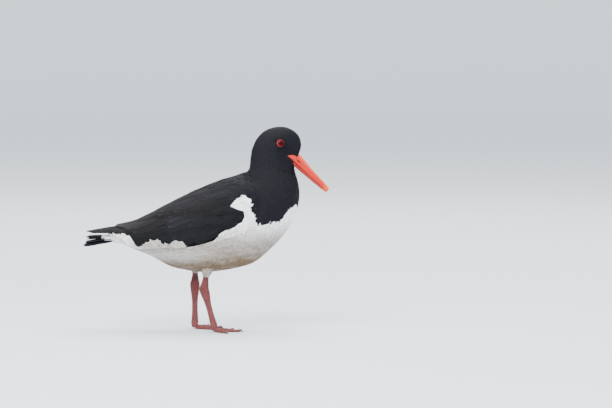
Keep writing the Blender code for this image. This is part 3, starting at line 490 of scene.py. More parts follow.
class Finish:
    """A material with one Principled BSDF, and short calls for the nodes that lead to it."""

    def __init__(self, name, **inputs):
        """A new material with those inputs of its shader."""
        self.material = bpy.data.materials.new(name)
        self.material.use_nodes = True
        self.tree = self.material.node_tree
        self.shader = self.tree.nodes["Principled BSDF"]
        for key, value in inputs.items():
            self.shader.inputs[key.replace("_", " ")].default_value = value

    def node(self, kind, inputs=None, **settings):
        """A shader node with its settings, inputs set to a number, colour or another node's output."""
        made = self.tree.nodes.new(kind)
        for key, value in settings.items():
            setattr(made, key, value)
        for key, value in (inputs or {}).items():
            if isinstance(value, bpy.types.NodeSocket):
                self.tree.links.new(value, made.inputs[key])
            else:
                made.inputs[key].default_value = value
        return made

    @functools.cached_property
    def place(self):
        """The object's own coordinates, in metres."""
        return self.node("ShaderNodeTexCoord").outputs["Object"]

    def parts(self, vector):
        """The three numbers of a vector."""
        return self.node("ShaderNodeSeparateXYZ", {0: vector}).outputs

    def attribute(self, name):
        """The three numbers of a vector kept at each point."""
        return self.parts(self.node("ShaderNodeAttribute", attribute_name=name).outputs["Vector"])

    def maths(self, operation, a, b=0.0, c=0.0):
        """The output of one Math node."""
        return self.node("ShaderNodeMath", {0: a, 1: b, 2: c}, operation=operation).outputs[0]

    def times(self, a, b):
        """The product of two numbers."""
        return self.maths("MULTIPLY", a, b)

    def noise(self, scale, detail=2.0, vector=None):
        """Cloudy noise over the object, or along another vector."""
        vector = self.place if vector is None else vector
        inputs = {"Vector": vector, "Scale": scale, "Detail": detail}
        return self.node("ShaderNodeTexNoise", inputs).outputs["Fac"]

    def ramp(self, value, low, high):
        """A smooth step from 0 to 1 between two values."""
        inputs = {"Value": value, "From Min": low, "From Max": high}
        return self.node("ShaderNodeMapRange", inputs, interpolation_type="SMOOTHSTEP").outputs["Result"]

    def mixed(self, factor, a, b, blend="MIX"):
        """The output of one colour Mix node, its colours three numbers or another node's output."""
        a, b = (c if isinstance(c, bpy.types.NodeSocket) else (*c, 1.0) for c in (a, b))
        inputs = {0: factor, 6: a, 7: b}
        return self.node("ShaderNodeMix", inputs, data_type="RGBA", blend_type=blend).outputs[2]

    def inside_white(self):
        """0 in the black plumage and 1 in the white, with a soft edge, from the depth kept at each point."""
        return self.ramp(self.node("ShaderNodeAttribute", attribute_name="white").outputs["Fac"], -0.3, 0.3)

    def done(self, colour, relief=None, strength=0.0, distance=0.0):
        """The finished material, once its colour and the relief that it has are linked."""
        self.tree.links.new(colour, self.shader.inputs["Base Color"])
        if relief is not None:
            bump = self.node("ShaderNodeBump", {"Height": relief, "Strength": strength, "Distance": distance})
            self.tree.links.new(bump.outputs["Normal"], self.shader.inputs["Normal"])
        return self.material


def once(make):
    """A maker of a material named as its function is: made on the first call, then found by name."""
    @functools.wraps(make)
    def found():
        return bpy.data.materials.get(make.__name__) or make(make.__name__)

    return found


def paint(name, scale=1.0):
    """A colour of the panel, times a number or three numbers."""
    return np.array(getattr(bpy.context.scene.oyster_colours, name)) * scale


def plumage_material(name, base, second, fringe, roughness, barb_depth, white=None):
    """Feather colour from its tone: base to second colour, a random shade and a paler worn fringe, with the
    barbs as slanting ridges from shaft to rim, and white where the white plumage laps over the wing."""
    look = Finish(name, Roughness=roughness, Specular_IOR_Level=0.10)
    along, across, length = look.attribute("vane")
    second_share, shade, fringe_share = look.attribute("tone")
    across = look.maths("ABSOLUTE", across)
    rim = look.maths("MAXIMUM", look.ramp(across, 0.78, 1.0), look.ramp(along, 0.90, 1.0))
    colour = look.mixed(second_share, paint(base), paint(second))
    colour = look.mixed(look.times(rim, fringe_share), colour, paint(fringe))
    if white:
        colour = look.mixed(look.inside_white(), colour, paint(white))
    run = look.maths("MULTIPLY_ADD", along, length, look.times(across, BARB_SLANT))
    barbs = look.maths("SINE", look.times(run, FULL_TURN / BARB_PITCH))
    shade = look.maths("MULTIPLY_ADD", shade, 0.34, 0.83)
    # Painted shade: the barbs' grooves a little darker and their ridges a little lighter, from the same sine
    # as their relief.
    shade = look.maths("MULTIPLY_ADD", barbs, 0.035, shade)
    grey = look.node("ShaderNodeCombineXYZ", {0: shade, 1: shade, 2: shade}).outputs[0]
    return look.done(look.mixed(1.0, colour, grey, "MULTIPLY"), barbs, 0.5, barb_depth * MM)


# Each plumage: base, second and fringe colour, roughness, depth of its barbs, colour of the white over it.
PLUMAGES = {
    # The white plumage's second colour is the underside's painted shade.
    "white": ("white", "stain", "white", 0.72, 0.05),
    "black": ("black", "brown", "fringe", 0.55, 0.06),
    "wing": ("black", "brown", "fringe", 0.6, 0.05, "white"),
    "tail": ("white", "black", "white", 0.6, 0.05),
}


def plumage(kind):
    """The plumage finish of that name, made once from the panel's colours."""
    name = f"{kind}_feathers"
    return bpy.data.materials.get(name) or plumage_material(name, *PLUMAGES[kind])


@once
def skin_under_feathers(name):
    """Skin under the coat, with the coat's own markings."""
    look = Finish(name, Roughness=0.9, Specular_IOR_Level=0.05)
    down = look.noise(900.0)
    # Pale skin takes the underside's painted shade from the first number of its tone.
    pale = look.mixed(look.attribute("tone")[0], paint("white"), paint("stain"))
    pale = look.mixed(look.times(down, 0.2), pale, paint("stain"))
    dark = look.mixed(down, paint("black", 0.6), paint("black"))
    return look.done(look.mixed(look.inside_white(), dark, pale))


@once
def red_eye(name):
    """Black pupil, red iris with fine rays and a darker rim, by distance from the eye's axis."""
    look = Finish(name, Roughness=0.05, Specular_IOR_Level=0.08)
    reach, turn, _ = look.attribute("ray")
    streak = look.maths("MULTIPLY_ADD", look.maths("SINE", look.times(turn, 46.0)), 0.18, look.noise(1400.0))
    iris = look.mixed(look.ramp(streak, 0.2, 0.95), paint("iris", 0.45), paint("iris"))
    iris = look.mixed(look.ramp(reach, IRIS - 1.0, IRIS + 0.1), iris, paint("iris", 0.16))
    return look.done(look.mixed(look.ramp(reach, PUPIL + 0.15, PUPIL - 0.1), iris, (0.002, 0.002, 0.002)))


@once
def lid_ring_skin(name):
    """Bare orange-red skin of the lid ring, with painted shade darker in the hollows of its folds."""
    look = Finish(name, Roughness=0.42, Subsurface_Weight=0.15, Subsurface_Scale=0.0006)
    fold = look.noise(1800.0, 4.0)
    # Painted shade: darker where the fold noise is low, in the hollows of the same relief.
    colour = look.mixed(look.ramp(fold, 0.35, 0.7), paint("eye_ring", 0.55), paint("eye_ring"))
    return look.done(colour, fold, 0.6, 0.0002)


@once
def red_bill_horn(name):
    """Orange-red horn: a painted highlight of salmon along the ridge, painted shade on the keel, along the
    mouth line and in the nostril, an orange-yellow tip, fine lengthwise streaks and a few worn flecks."""
    look = Finish(
        name, Roughness=0.42, Specular_IOR_Level=0.3, Subsurface_Weight=0.12, Subsurface_Scale=0.001)
    along, rise, slot = look.attribute("bill")
    lean = float(np.arctan2(BILL_AXIS[2], BILL_AXIS[0]))
    turned = look.node("ShaderNodeMapping", {
        "Vector": look.place, "Rotation": (0.0, lean, 0.0), "Scale": (60.0, 900.0, 900.0)})
    streak = look.noise(1.0, 3.0, turned.outputs["Vector"])
    colour = look.mixed(look.ramp(streak, 0.3, 0.75), paint("bill", 0.78), paint("bill"))
    # Painted shade along the mouth line between the two halves.
    line = look.ramp(look.maths("ABSOLUTE", rise), 0.24, 0.0)
    fleck = look.ramp(look.noise(700.0, 3.0), 0.62, 0.72)
    for share, laid in (
        # Painted highlight along the ridge.
        (look.ramp(rise, 0.62, 0.98), paint("bill_ridge")),
        # Painted shade on the keel.
        (look.ramp(rise, -0.25, -0.90), paint("bill", (0.30, 0.22, 0.60))),
        (look.ramp(along, 0.84, 0.96), paint("bill_tip")),
        (look.times(line, 0.85), paint("bill", 0.16)),
        # Painted shade in the nostril's hollow.
        (look.ramp(slot, 0.15, 0.8), paint("bill", 0.06)),
        (look.times(fleck, 0.45), paint("bill", 0.45)),
    ):
        colour = look.mixed(share, colour, laid)
    return look.done(colour, streak, 0.35, 0.0003)


@once
def scaly_leg_skin(name):
    """Dull pink scaly skin: many-sided scales, darker seams, redder ankles, paler towards the feet."""
    look = Finish(
        name, Roughness=0.5, Specular_IOR_Level=0.2, Subsurface_Weight=0.08, Subsurface_Scale=0.0008)
    scales = {"Vector": look.place, "Scale": 620.0, "Randomness": 0.75}
    edge = look.node("ShaderNodeTexVoronoi", scales, feature="DISTANCE_TO_EDGE").outputs["Distance"]
    cell = look.node("ShaderNodeTexVoronoi", scales).outputs["Color"]
    height = look.parts(look.place)[2]
    seam = look.ramp(edge, 0.0, 0.16)
    tint = look.node("ShaderNodeSeparateColor", {0: cell}).outputs[0]
    ankle = look.times(look.ramp(height, 0.046, 0.056), look.ramp(height, 0.072, 0.060))
    colour = look.mixed(tint, paint("legs", 0.88), paint("legs", 1.12))
    for share, laid in (
        (look.ramp(look.noise(110.0, 4.0), 0.40, 0.70), paint("legs", (0.62, 0.55, 0.60))),
        (look.times(ankle, 0.55), paint("ankles")),
        (look.times(look.ramp(height, 0.070, 0.018), 0.5), paint("legs", (1.75, 1.95, 1.85))),
    ):
        colour = look.mixed(share, colour, laid)
    return look.done(look.mixed(seam, paint("legs", 0.42), colour), seam, 0.8, 0.00018)


@once
def dark_claw_horn(name):
    """Dark horn in darker and paler clouds."""
    look = Finish(name, Roughness=0.32)
    grain = look.noise(900.0, 3.0)
    colour = look.mixed(look.ramp(grain, 0.35, 0.65), paint("claws", 0.6), paint("claws", 1.8))
    return look.done(colour, grain, 0.4, 0.0001)


@once
def pale_floor(name):
    """Matt pale ground with a faint cloudy tint, paler far from the lights so that it looks even."""
    base = np.array(bpy.context.scene.oyster_studio.floor)
    look = Finish(name, Roughness=0.9)
    reach = look.node("ShaderNodeVectorMath", {0: look.place}, operation="LENGTH").outputs["Value"]
    ground = look.mixed(look.noise(1.4), base * 0.985, base)
    return look.done(look.mixed(look.ramp(reach, *FLOOR_FADE), ground, np.minimum(base * 1.42, 1.0)))


# Skin and coat of the body.

SKIN_ROWS, SKIN_AROUND, SKIN_SEARCH = 150, 120, 261
# How far under the wing feathers still grow.
UNDER_WING = 10.0
# Row, then: how far the skin lies inside the coat, spacing of the feathers, their length over spacing.
COAT = np.array([
    (0.0, 1.3, 2.2, 5.0), (3.0, 1.7, 2.1, 5.6), (9.0, 1.8, 2.0, 5.4), (12.0, 1.6, 1.9, 4.8),
    (14.0, 1.4, 1.75, 4.6), (16.5, 1.15, 1.55, 4.6), (19.0, 0.95, 1.3, 4.7), (22.0, 0.8, 1.1, 4.3),
    (26.0, 0.6, 0.95, 3.6),
])
# Where the mouth opens, and how far from it the feathers' lie is turned fully away from it.
MOUTH, MOUTH_REACH = np.array([122.0, 0.0, 241.0]), 28.0
# The wing's foremost point, and the place ahead of which the body's side is clear of it.
WING_FRONT, WING_BEND = 66.0, 60.0
# Beside the wing the coat climbs by this height, from this far away.
CLIMB_HEIGHT, CLIMB_REACH = 3.6, 15.0
# Where along a feather the part that is seen lies.
SEEN = 0.78


def coat(row, column):
    """A column of the coat's table at each row."""
    return np.interp(row, COAT[:, 0], COAT[:, column])


def wing_front(t):
    """The wing's front edge: furthest forward just below the middle, swept back from there by a power."""
    return WING_FRONT - 15.0 * np.abs(2 * t - 0.75) ** 2.2


def wing_gap(point):
    """How far a point of the body lies ahead of the folded wing or below it in the side view, or towards the
    midline from its upper edge. Below zero it lies under the wing."""
    x, y, z = point[..., 0], np.abs(point[..., 1]), point[..., 2]
    _, top_y, low_z, _ = wing_edges(x)
    ahead = x - wing_front(wing_share(np.full_like(x, WING_BEND), z))
    return np.maximum(np.maximum(ahead, low_z - z), (top_y - y) * 2.5)


def white_depth(point, over_wing=False):
    """How far inside the white plumage a point lies in the side view, below zero in the black: the largest of
    its depths under the breast's edge, in the shoulder patch between its edges, and in rump and belly, or
    over the wing under the flank feathers' edge."""
    x, z = point[..., 0], point[..., 2]
    patch = np.min([x - np.interp(z, *PATCH_REAR.T), np.interp(z, *PATCH_FRONT.T) - x,
                    z - PATCH_LOW, PATCH_HIGH - z], axis=0)
    if over_wing:
        return np.maximum(patch, np.interp(x, *FLANK_EDGE.T) - z)
    top_z, _, low_z, _ = wing_edges(x)
    below = np.where(x > WING_BEND, np.interp(x, *BREAST_EDGE.T) - z, low_z + 0.4 * (top_z - low_z) - z)
    rump = np.where(z > low_z + 0.7 * (top_z - low_z), -MARK_DEPTH, WHITE_RUMP - x)
    return np.maximum(np.maximum(below, patch), rump)


def stain(point):
    """Painted shade in dusky buff on the underside: it rises as the body's height falls, is less over the
    rear flank's bulge, which the light falls on, and over the rump, and is broken into faint streaks by a sum
    of bent sines, slow along x, quicker down z and across y."""
    x, y, z = point[..., 0], point[..., 1], point[..., 2]
    # Painted shade: darker as the body's height falls, and a little more below the breast at the front.
    low = 0.74 * smooth(165, 118, z) + 0.20 * smooth(118, 92, z)
    low += 0.05 * smooth(0, 60, x) * smooth(155, 110, z)
    # Painted light: less shade over the rear flank's bulge, which the light falls on.
    low -= 0.20 * smooth(20, -30, x) * smooth(92, 104, z) * smooth(120, 108, z)
    low *= 1 - 0.6 * smooth(-80, -110, x)
    wave = (
        np.sin(0.53 * z + 0.19 * x + 1.3 * np.sin(0.07 * x + 0.3 * y))
        + np.sin(0.91 * z - 0.16 * x + 1.7 * np.sin(0.05 * x - 0.21 * z) + 2.0)
        + np.sin(0.37 * z + 0.08 * x + 0.23 * y + 4.0)) / 3
    return np.clip(low + (0.02 + 0.05 * low) * wave * smooth(165, 140, z), 0, 1)


def build_skin():
    """The body's surface moved in by the coat's depth along its normals, closed by a fan at tail base and
    face, with both thighs joined to it by a Boolean union."""
    row, angle = np.meshgrid(np.linspace(0, BROW_ROW, SKIN_ROWS), circle(SKIN_AROUND), indexing="ij")
    point, normal, _, _ = frames(body_point, row, angle, BROW_ROW)
    rings = point - normal * coat(row, 1)[..., None]
    obj = new_object("skin", *ring_loft(rings), skin_under_feathers())
    for side in SIDES.values():
        thigh = solid("thigh", thigh_rings(side), skin_under_feathers())
        union = obj.modifiers.new("thigh", "BOOLEAN")
        union.operation, union.object = "UNION", thigh
        bake_modifiers(obj)
        bpy.data.objects.remove(thigh, do_unlink=True)
    place = vertex_places(obj.data) / MM
    # The skin's tone carries the underside's painted shade.
    dark = stain(place)
    put_tone(obj, place, np.stack([dark, 0.5 + 0 * dark, 0 * dark], -1), False)
    put_uv(obj, skin_corners(obj.data, place), for_corners=True)
    finish_piece(obj, "white_plumage", "rump", "mantle", "breast", "belly", "neck", "head",
                 "thigh_right", "thigh_left")


def skin_corners(mesh, place):
    """The skin's bake map: its angle round the body and its row, each corner read on its own polygon's side
    of the seam."""
    totals = np.empty(len(mesh.polygons), np.int32)
    mesh.polygons.foreach_get("loop_total", totals)
    uv = unwrap(*nearest_row(place))[corner_points(mesh)]
    owner = np.repeat(np.arange(len(totals)), totals)
    low, high = np.full(len(totals), 9.0), np.full(len(totals), -9.0)
    np.minimum.at(low, owner, uv[:, 0])
    np.maximum.at(high, owner, uv[:, 0])
    over_seam = ((high - low)[owner] > 0.5) & (uv[:, 0] < 0.5)
    uv[over_seam, 0] = 0.995
    return uv


def nearest_row(place):
    """Row and angle of the body's ring that passes nearest to each point: the least distance from a ring's
    plane, and from its edge beyond that."""
    rows = np.linspace(0, BROW_ROW, SKIN_SEARCH)
    best = np.full(len(place), 1e9)
    row, angle = np.zeros(len(place)), np.zeros(len(place))
    for at, (back_x, back_z, belly_x, belly_z, width) in zip(rows, spline(BODY, rows)):
        up = np.array([back_x - belly_x, back_z - belly_z]) / 2
        flat = place[:, [0, 2]] - np.array([(back_x + belly_x) / 2, (back_z + belly_z) / 2])
        depth = np.hypot(*up)
        c = flat @ up / depth**2
        off = np.abs(flat @ np.array([-up[1], up[0]]) / depth) + 0.2 * np.maximum(np.abs(c) - 1, 0) * depth
        nearer = off < best
        best = np.where(nearer, off, best)
        row = np.where(nearer, at, row)
        angle = np.where(nearer, np.arctan2(place[:, 1] / width, c), angle)
    return row, angle % FULL_TURN


def upward(normal):
    """The tangent direction that climbs the surface."""
    return unit(UP - normal * normal[..., 2:3])


def unruly(flow, normal, amount, chance):
    """Directions turned at random in the surface, by a normal spread about the given amount."""
    return unit(flow + np.cross(normal, flow) * chance.normal(0, amount, (len(flow), 1)))


def body_flow(row, point, normal, du):
    """Which way the feathers lie: tailwards along the body's rows, and on the head also away from the mouth,
    parted round each eye as a stream is round a post; on the flank up over the folded wing's edge, or down
    along it where the wing stays bare."""
    away = (point - MOUTH) / MOUTH_REACH
    away -= normal * dot(away, normal)
    head = smooth(15.0, 20.0, row)[:, None]
    flow = unit(-unit(du) * (1 - 0.6 * head) + away * head)
    for side in SIDES.values():
        height, flat, reach = eye_offset(point, side)
        out = flat / np.maximum(reach, 1e-6)
        near = (height > EYE_SIDE) & (reach < EYE_REACH)
        share = np.clip(RING_BARE / np.maximum(reach, RING_BARE), 0, 1) ** 2
        radial = dot(flow, out)
        parted = unit(out * radial * (1 - share) + (flow - out * radial) * (1 + share))
        flow = np.where(near, parted, flow)
    x = point[:, 0]
    flank = (x < WING_BEND) & (point[:, 2] > 84) & (np.abs(point[:, 1]) > 20)
    over = smooth(0.0, 4.0, np.interp(x, *FLANK_EDGE.T) - wing_edges(x)[2]) * (x < 20)
    lap = np.where(flank, (0.65 * over - 0.38) * smooth(26, 2, wing_gap(point)), 0.0)[:, None]
    return unit(flow + lap * upward(normal))


def near_eye(point):
    """Distance from the nearer eye's axis, for points on that side of the head."""
    best = np.full(point.shape[:-1], 1e3)
    for side in SIDES.values():
        height, _, reach = (part[..., 0] for part in eye_offset(point, side))
        best = np.where((height > EYE_SIDE) & (reach < best), reach, best)
    return best


def root_spacing(row, angle):
    """Spacing of the body's feathers, closer round the eyes and at the bill, where they are shortest."""
    point = body_point(row, angle)
    close = smooth(RING_BARE + 7.0, RING_BARE + 1.0, near_eye(point))
    mouth = smooth(10.0, 3.0, bill_gap(point))
    return coat(row, 2) * bpy.context.scene.oyster_sizes.coat_spacing * (1 - 0.35 * np.maximum(close, mouth))


def bill_gap(point):
    """How far outside the bill's side a point of the head lies: its distance from the midline less the bill's
    half width at that place, taken from the superellipse of its section; large where there is no bill."""
    rel = point - BILL_ROOT
    along, rise = rel @ BILL_AXIS, rel @ BILL_UP
    ridge, mouth, keel, width = bill_section(along / BILL_LENGTH)
    edge = np.where(rise > mouth, ridge, keel) - mouth
    share = np.clip((rise - mouth) / np.where(np.abs(edge) < 0.1, 0.1, edge), 0, None)
    reach = width * np.clip(1 - share ** (2 / BILL_ROUND), 0, None) ** (BILL_SQUARE / 2)
    return np.abs(point[..., 1]) - reach + 6.0 * np.clip(share - 1, 0, None) + np.clip(-along, 0, None)


def body_roots(row, angle, point):
    """Where feathers grow: not under the wings, on the eye's bare ring, or on the bill's bare base."""
    return (wing_gap(point) > -UNDER_WING) & (near_eye(point) > RING_BARE - 0.3) & (bill_gap(point) > 0.1)


def build_body_coat():
    """Feathers over the whole body, neck and head from one even spread of roots, each coloured by where its
    visible part lies, shortest on the face, and parted into pieces by region and colour."""
    chance = np.random.default_rng(SEED)
    sizes = bpy.context.scene.oyster_sizes
    span = (0.0, BROW_ROW)
    row, angle = spread(body_point, span, (0.0, FULL_TURN), root_spacing, chance, body_roots, (260, 240))
    count = len(row)
    point, normal, du, dv = frames(body_point, row, angle, BROW_ROW)
    flow = unruly(body_flow(row, point, normal, du), normal, 0.06, chance)
    length = coat(row, 2) * coat(row, 3) * sizes.coat_spacing * sizes.coat_length
    length = length * chance.uniform(0.85, 1.15, count)
    length = np.minimum(length, np.maximum(2.0, 0.9 * (near_eye(point) - RING_BARE) + 2.2))
    white = white_depth(point + flow * (SEEN * length)[:, None]) > chance.uniform(-0.6, 0.6, count)
    margin = chance.uniform(-1.2, 0.2, count)

    def stays(length):
        """Whether a white feather's tip stays off the black wing."""
        tip = point + flow * length[:, None]
        return ~white | (wing_gap(tip) > 0) | (white_depth(tip, True) > margin)

    for share in (0.75, 0.6):
        length = np.where(stays(length), length, share * length)
    kept = stays(length)
    row, angle, point, normal, du, dv, flow, length, white = (
        v[kept] for v in (row, angle, point, normal, du, dv, flow, length, white))
    count = len(row)
    spacing, depth = root_spacing(row, angle), coat(row, 1)
    place = (body_point, span, row, angle, normal, du, dv)
    bend = bend_along(*place, flow, step=0.5 * length)
    roll = bend_along(*place, np.cross(normal, flow))
    climb, climb_end = (
        CLIMB_HEIGHT * smooth(CLIMB_REACH, 0.0, wing_gap(spot)) * smooth(13.6, 11.2, row)
        for spot in (point, point + flow * length[:, None]))
    rough = spacing * np.where(white, 0.5, 1.0)
    lift = climb - 0.75 * depth + 0.06 * rough * chance.uniform(-1, 1, count)
    rise = climb_end - climb + 0.75 * depth + 0.08 * rough * (1 + chance.uniform(-0.6, 0.8, count))
    tooth = np.where(white, 0.09, 0.10 + 0.06 * smooth(15, 18, row))
    half = spacing * (0.92 - 0.17 * smooth(14.5, 18.0, row))
    grid, shares = small_vanes(point, normal, flow, length, half, bend, roll, lift, rise, tooth, chance)
    brown = 0.5 * smooth(75, 20, point[:, 0]) * smooth(180, 200, point[:, 2])
    brown = np.clip(brown + chance.normal(0.06, 0.05, count), 0, 1)
    seen = point + flow * (SEEN * length)[:, None]
    # Painted shade of the underside where each white feather's seen part lies, and a little more at random
    # low on the body.
    soil = np.clip(stain(seen) + 0.06 * chance.random(count) * smooth(150, 120, seen[:, 2]), 0, 1)
    tone = np.stack([
        np.where(white, soil, brown), chance.random(count), np.where(white, 0.0, 0.25 * brown)], -1)
    centre = unwrap(row, angle)
    front, rear = row >= MANTLE_ROW, row < MANTLE_ROW
    belly, right = white & rear & (row >= RUMP_ROW), point[:, 1] < 0
    for name, colour, chosen in (
        ("head_feathers", "black", ~white & (row >= HEAD_ROW)),
        ("neck_feathers", "black", ~white & (row >= NECK_ROW) & (row < HEAD_ROW)),
        ("breast_feathers", "black", ~white & front & (row < NECK_ROW)),
        ("mantle_feathers", "black", ~white & rear),
        ("white_breast_feathers", "white", white & front),
        ("belly_feathers_right", "white", belly & right),
        ("belly_feathers_left", "white", belly & ~right),
        ("rump_feathers", "white", white & (row < RUMP_ROW)),
    ):
        grown = (v[chosen] for v in (tone, centre, length))
        add_small(name, grid[chosen], [s[chosen] for s in shares], *grown, colour)


# Thighs.

# Thigh from the belly towards the ankle: share of that length, half depth and half width.
THIGH = np.array([(0.0, 10.4, 7.2), (0.15, 9.4, 7.0), (0.28, 7.9, 6.3), (0.40, 5.9, 5.1)])
THIGH_LEAN = 7.0
# Share of the underside's painted shade that the thigh feathers take.
THIGH_SHADE = 0.88
# How far skin and feather roots lie inside the thigh's outside.
THIGH_SKIN, THIGH_ROOTS = 1.6, 1.3
# Legs: belly, ankle and foot joint as (x, z), and reach from the midline.
LEGS = {
    "right": ((2.6, 92.0), (-2.2, 60.0), (12.0, 6.4), 21.0),
    "left": ((-15.6, 92.0), (-16.4, 64.0), (-16.6, 6.4), 21.0),
}


def leg_points(side):
    """Belly, ankle and foot joint of a leg, as points."""
    *places, reach = LEGS["right" if side < 0 else "left"]
    return [np.array([x, side * reach, z]) for x, z in places]


def thigh_point(side, inset):
    """A surface function of (share of the way to the ankle, angle): an oval tube that tapers down the leg and
    leans in under the belly at its top."""
    top, ankle, _ = leg_points(side)
    axis = ankle - top
    fore = unit(np.cross(ACROSS, axis))

    def surface(share, angle):
        """The tube's point at that share and angle."""
        share, angle = np.broadcast_arrays(np.asarray(share, float), np.asarray(angle, float))
        depth, width = (np.interp(share, THIGH[:, 0], column) - inset for column in THIGH.T[1:])
        place = top + axis * share[..., None] + fore * (np.cos(angle) * depth)[..., None]
        place[..., 1] += np.sin(angle) * width - side * THIGH_LEAN * smooth(0.30, -0.10, share)
        return place

    return surface


def thigh_rings(side):
    """Rings of the skin's tube down a thigh, from well inside the belly to its end."""
    return thigh_point(side, THIGH_SKIN)(np.linspace(-0.35, THIGH[-1, 0], 16)[:, None], circle(28)[None])


def build_thigh_coat():
    """White feathers down each thigh, rooted on its tube and loose at its end over the bare leg."""
    chance = np.random.default_rng(SEED + 1)
    for name, side in SIDES.items():
        surface = thigh_point(side, THIGH_ROOTS)
        share, angle = spread(surface, (-0.3, 0.37), (0.0, FULL_TURN), 1.5, chance)
        count = len(share)
        point, normal, du, _ = frames(surface, share, angle, 0.5)
        top, ankle, _ = leg_points(side)
        normal = unit(normal * np.sign(dot(normal, point - top - (ankle - top) * share[:, None])))
        flow = unruly(unit(du - normal * dot(du, normal)), normal, 0.07, chance)
        front = smooth(0.2, 0.9, np.cos(angle))
        length = chance.uniform(5.0, 7.5, count) * (1 + 0.4 * front * chance.random(count))
        half, rise = chance.uniform(0.9, 1.4, count), chance.uniform(0.5, 0.8, count)
        grid, shares = small_vanes(point, normal, flow, length, half, 0.015, 0.10, -0.5, rise, 0.14, chance)
        centre = np.stack([0.02 + 0.96 * (angle / FULL_TURN % 1.0), 0.4 + 0.9 * share], -1)
        # The thigh feathers take THIGH_SHADE of the underside's painted shade, give or take a little at
        # random.
        soil = np.clip(THIGH_SHADE * stain(point) + chance.uniform(-0.1, 0.1, count), 0, 1)
        tone = white_tone(soil, chance)
        add_small(f"thigh_feathers_{name}", grid, shares, tone, centre, length, "white")


# Eyes.

EYE_LEAN = (0.24, 0.10)
# A point is on an eye's side of the head above this height along its axis; feathers part this far round it.
EYE_SIDE, EYE_REACH = -6.0, 24.0
RING_OUTER, RING_INNER, RING_BARE = 6.3, 4.4, 6.2
PUPIL, IRIS, CORNEA = 2.6, 4.6, 0.45
BALL_ROWS, BALL_AROUND = 60, 72
LID_AROUND, LID_SECTION = 160, 28


def eye_axis(side):
    """Centre of an eye, from its node's box, and the unit direction that it looks in."""
    low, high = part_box("eye_right" if side < 0 else "eye_left")
    return np.array((low + high) / 2) / MM, unit(np.array([EYE_LEAN[0], side, EYE_LEAN[1]]))


def eye_offset(point, side):
    """Each point's height along an eye's axis, its vector from the axis and its distance from the axis."""
    centre, axis = eye_axis(side)
    height = dot(point - centre, axis)
    flat = point - centre - axis * height
    return height, flat, np.linalg.norm(flat, axis=-1, keepdims=True)


def eye_radius():
    """Half the height of the eye's node."""
    low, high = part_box("eye_right")
    return (high - low).z / 2 / MM


def turn_about(side, radius, height, angle):
    """Points at a radius and angle round an eye's axis and at a height along it."""
    centre, axis = eye_axis(side)
    across = unit(np.cross(UP, axis))
    up = np.cross(axis, across)
    round_place = across * (radius * np.cos(angle))[..., None], up * (radius * np.sin(angle))[..., None]
    return centre + axis * height[..., None] + round_place[0] + round_place[1]


def build_eyes():
    """An eyeball and a lid ring on each side."""
    radius = eye_radius()
    for name, side in SIDES.items():
        build_eyeball(name, side, radius)
        build_lid_ring(name, side, radius)


def build_eyeball(name, side, radius):
    """A sphere turned about the eye's axis, its front bulged by a smooth step over the polar angle."""
    polar, angle = np.linspace(0.0, np.pi, BALL_ROWS)[1:-1, None], circle(BALL_AROUND)[None]
    grow = radius + CORNEA * smooth(0.85, 0.0, polar)
    rings = turn_about(side, grow * np.sin(polar), grow * np.cos(polar), angle)
    ball = solid(f"eyeball_{name}", rings, red_eye())
    reach = np.concatenate([np.repeat(np.sin(polar) * radius, BALL_AROUND), [np.sin(0.03) * radius, 0.0]])
    turn = np.concatenate([np.tile(angle[0], len(polar)), [0, 0]])
    put_attribute(ball, "ray", np.stack([reach, turn, 0 * turn], -1))
    finish_piece(ball, "iris", f"eye_{name}")


def build_lid_ring(name, side, radius):
    """A rounded section turned about the eye's axis, seated on the ball by the root of radius squared less
    reach squared, with fine radial folds from a sine of a bent angle."""
    section, around = circle(LID_SECTION)[None], circle(LID_AROUND)[:, None]
    middle, width = (RING_OUTER + RING_INNER) / 2, (RING_OUTER - RING_INNER) / 2
    fold = 0.10 * np.sin(around * 34 + 1.5 * np.sin(around * 5)) * np.maximum(np.cos(section - 1.2), 0)
    reach = middle - width * np.cos(section) * (1 + 0.06 * np.cos(2 * around))
    shell = np.sqrt(np.maximum((radius + 0.12) ** 2 - reach**2, 0.5))
    height = shell + (0.55 + 0.42 * np.sin(section) + fold) - 0.4 * smooth(5.4, 6.4, reach)
    rings = turn_about(side, reach, height, around)
    at = np.arange(reach.size).reshape(reach.shape)
    faces = np.stack([at, np.roll(at, -1, 0), np.roll(at, (-1, -1), (0, 1)), np.roll(at, -1, 1)], -1)
    lid = new_object(f"eye_ring_{name}", rings.reshape(-1, 3), [faces.reshape(-1, 4)], lid_ring_skin())
    outward(lid)
    finish_piece(lid, "eye_ring", f"eyelid_{name}")


# Bill.

BILL_ROOT, BILL_TIP = np.array([116.0, 0.0, 249.5]), np.array([171.4, 0.0, 197.4])
# Along the bill: share of length, then heights over its middle line of ridge, mouth and keel, and half width.
BILL = np.array([
    (0.00, -2.2, -4.4, -6.4, 11.2), (0.05, 2.8, -4.4, -7.2, 10.3), (0.12, 7.6, -4.4, -7.9, 8.6),
    (0.22, 8.3, -4.6, -8.2, 6.6), (0.36, 7.0, -4.4, -8.2, 5.0), (0.55, 5.4, -4.1, -7.4, 3.8),
    (0.72, 4.4, -3.8, -6.7, 2.9), (0.88, 3.4, -3.3, -5.9, 2.1), (0.97, 2.6, -3.0, -5.2, 1.6),
    (1.00, 1.8, -2.5, -4.3, 1.2),
])
BILL_LENGTH = np.linalg.norm(BILL_TIP - BILL_ROOT)
BILL_AXIS = (BILL_TIP - BILL_ROOT) / BILL_LENGTH
BILL_UP = np.array([-BILL_AXIS[2], 0.0, BILL_AXIS[0]])
# Powers of the sine and cosine of the bill's section.
BILL_ROUND, BILL_SQUARE = 0.8, 0.85
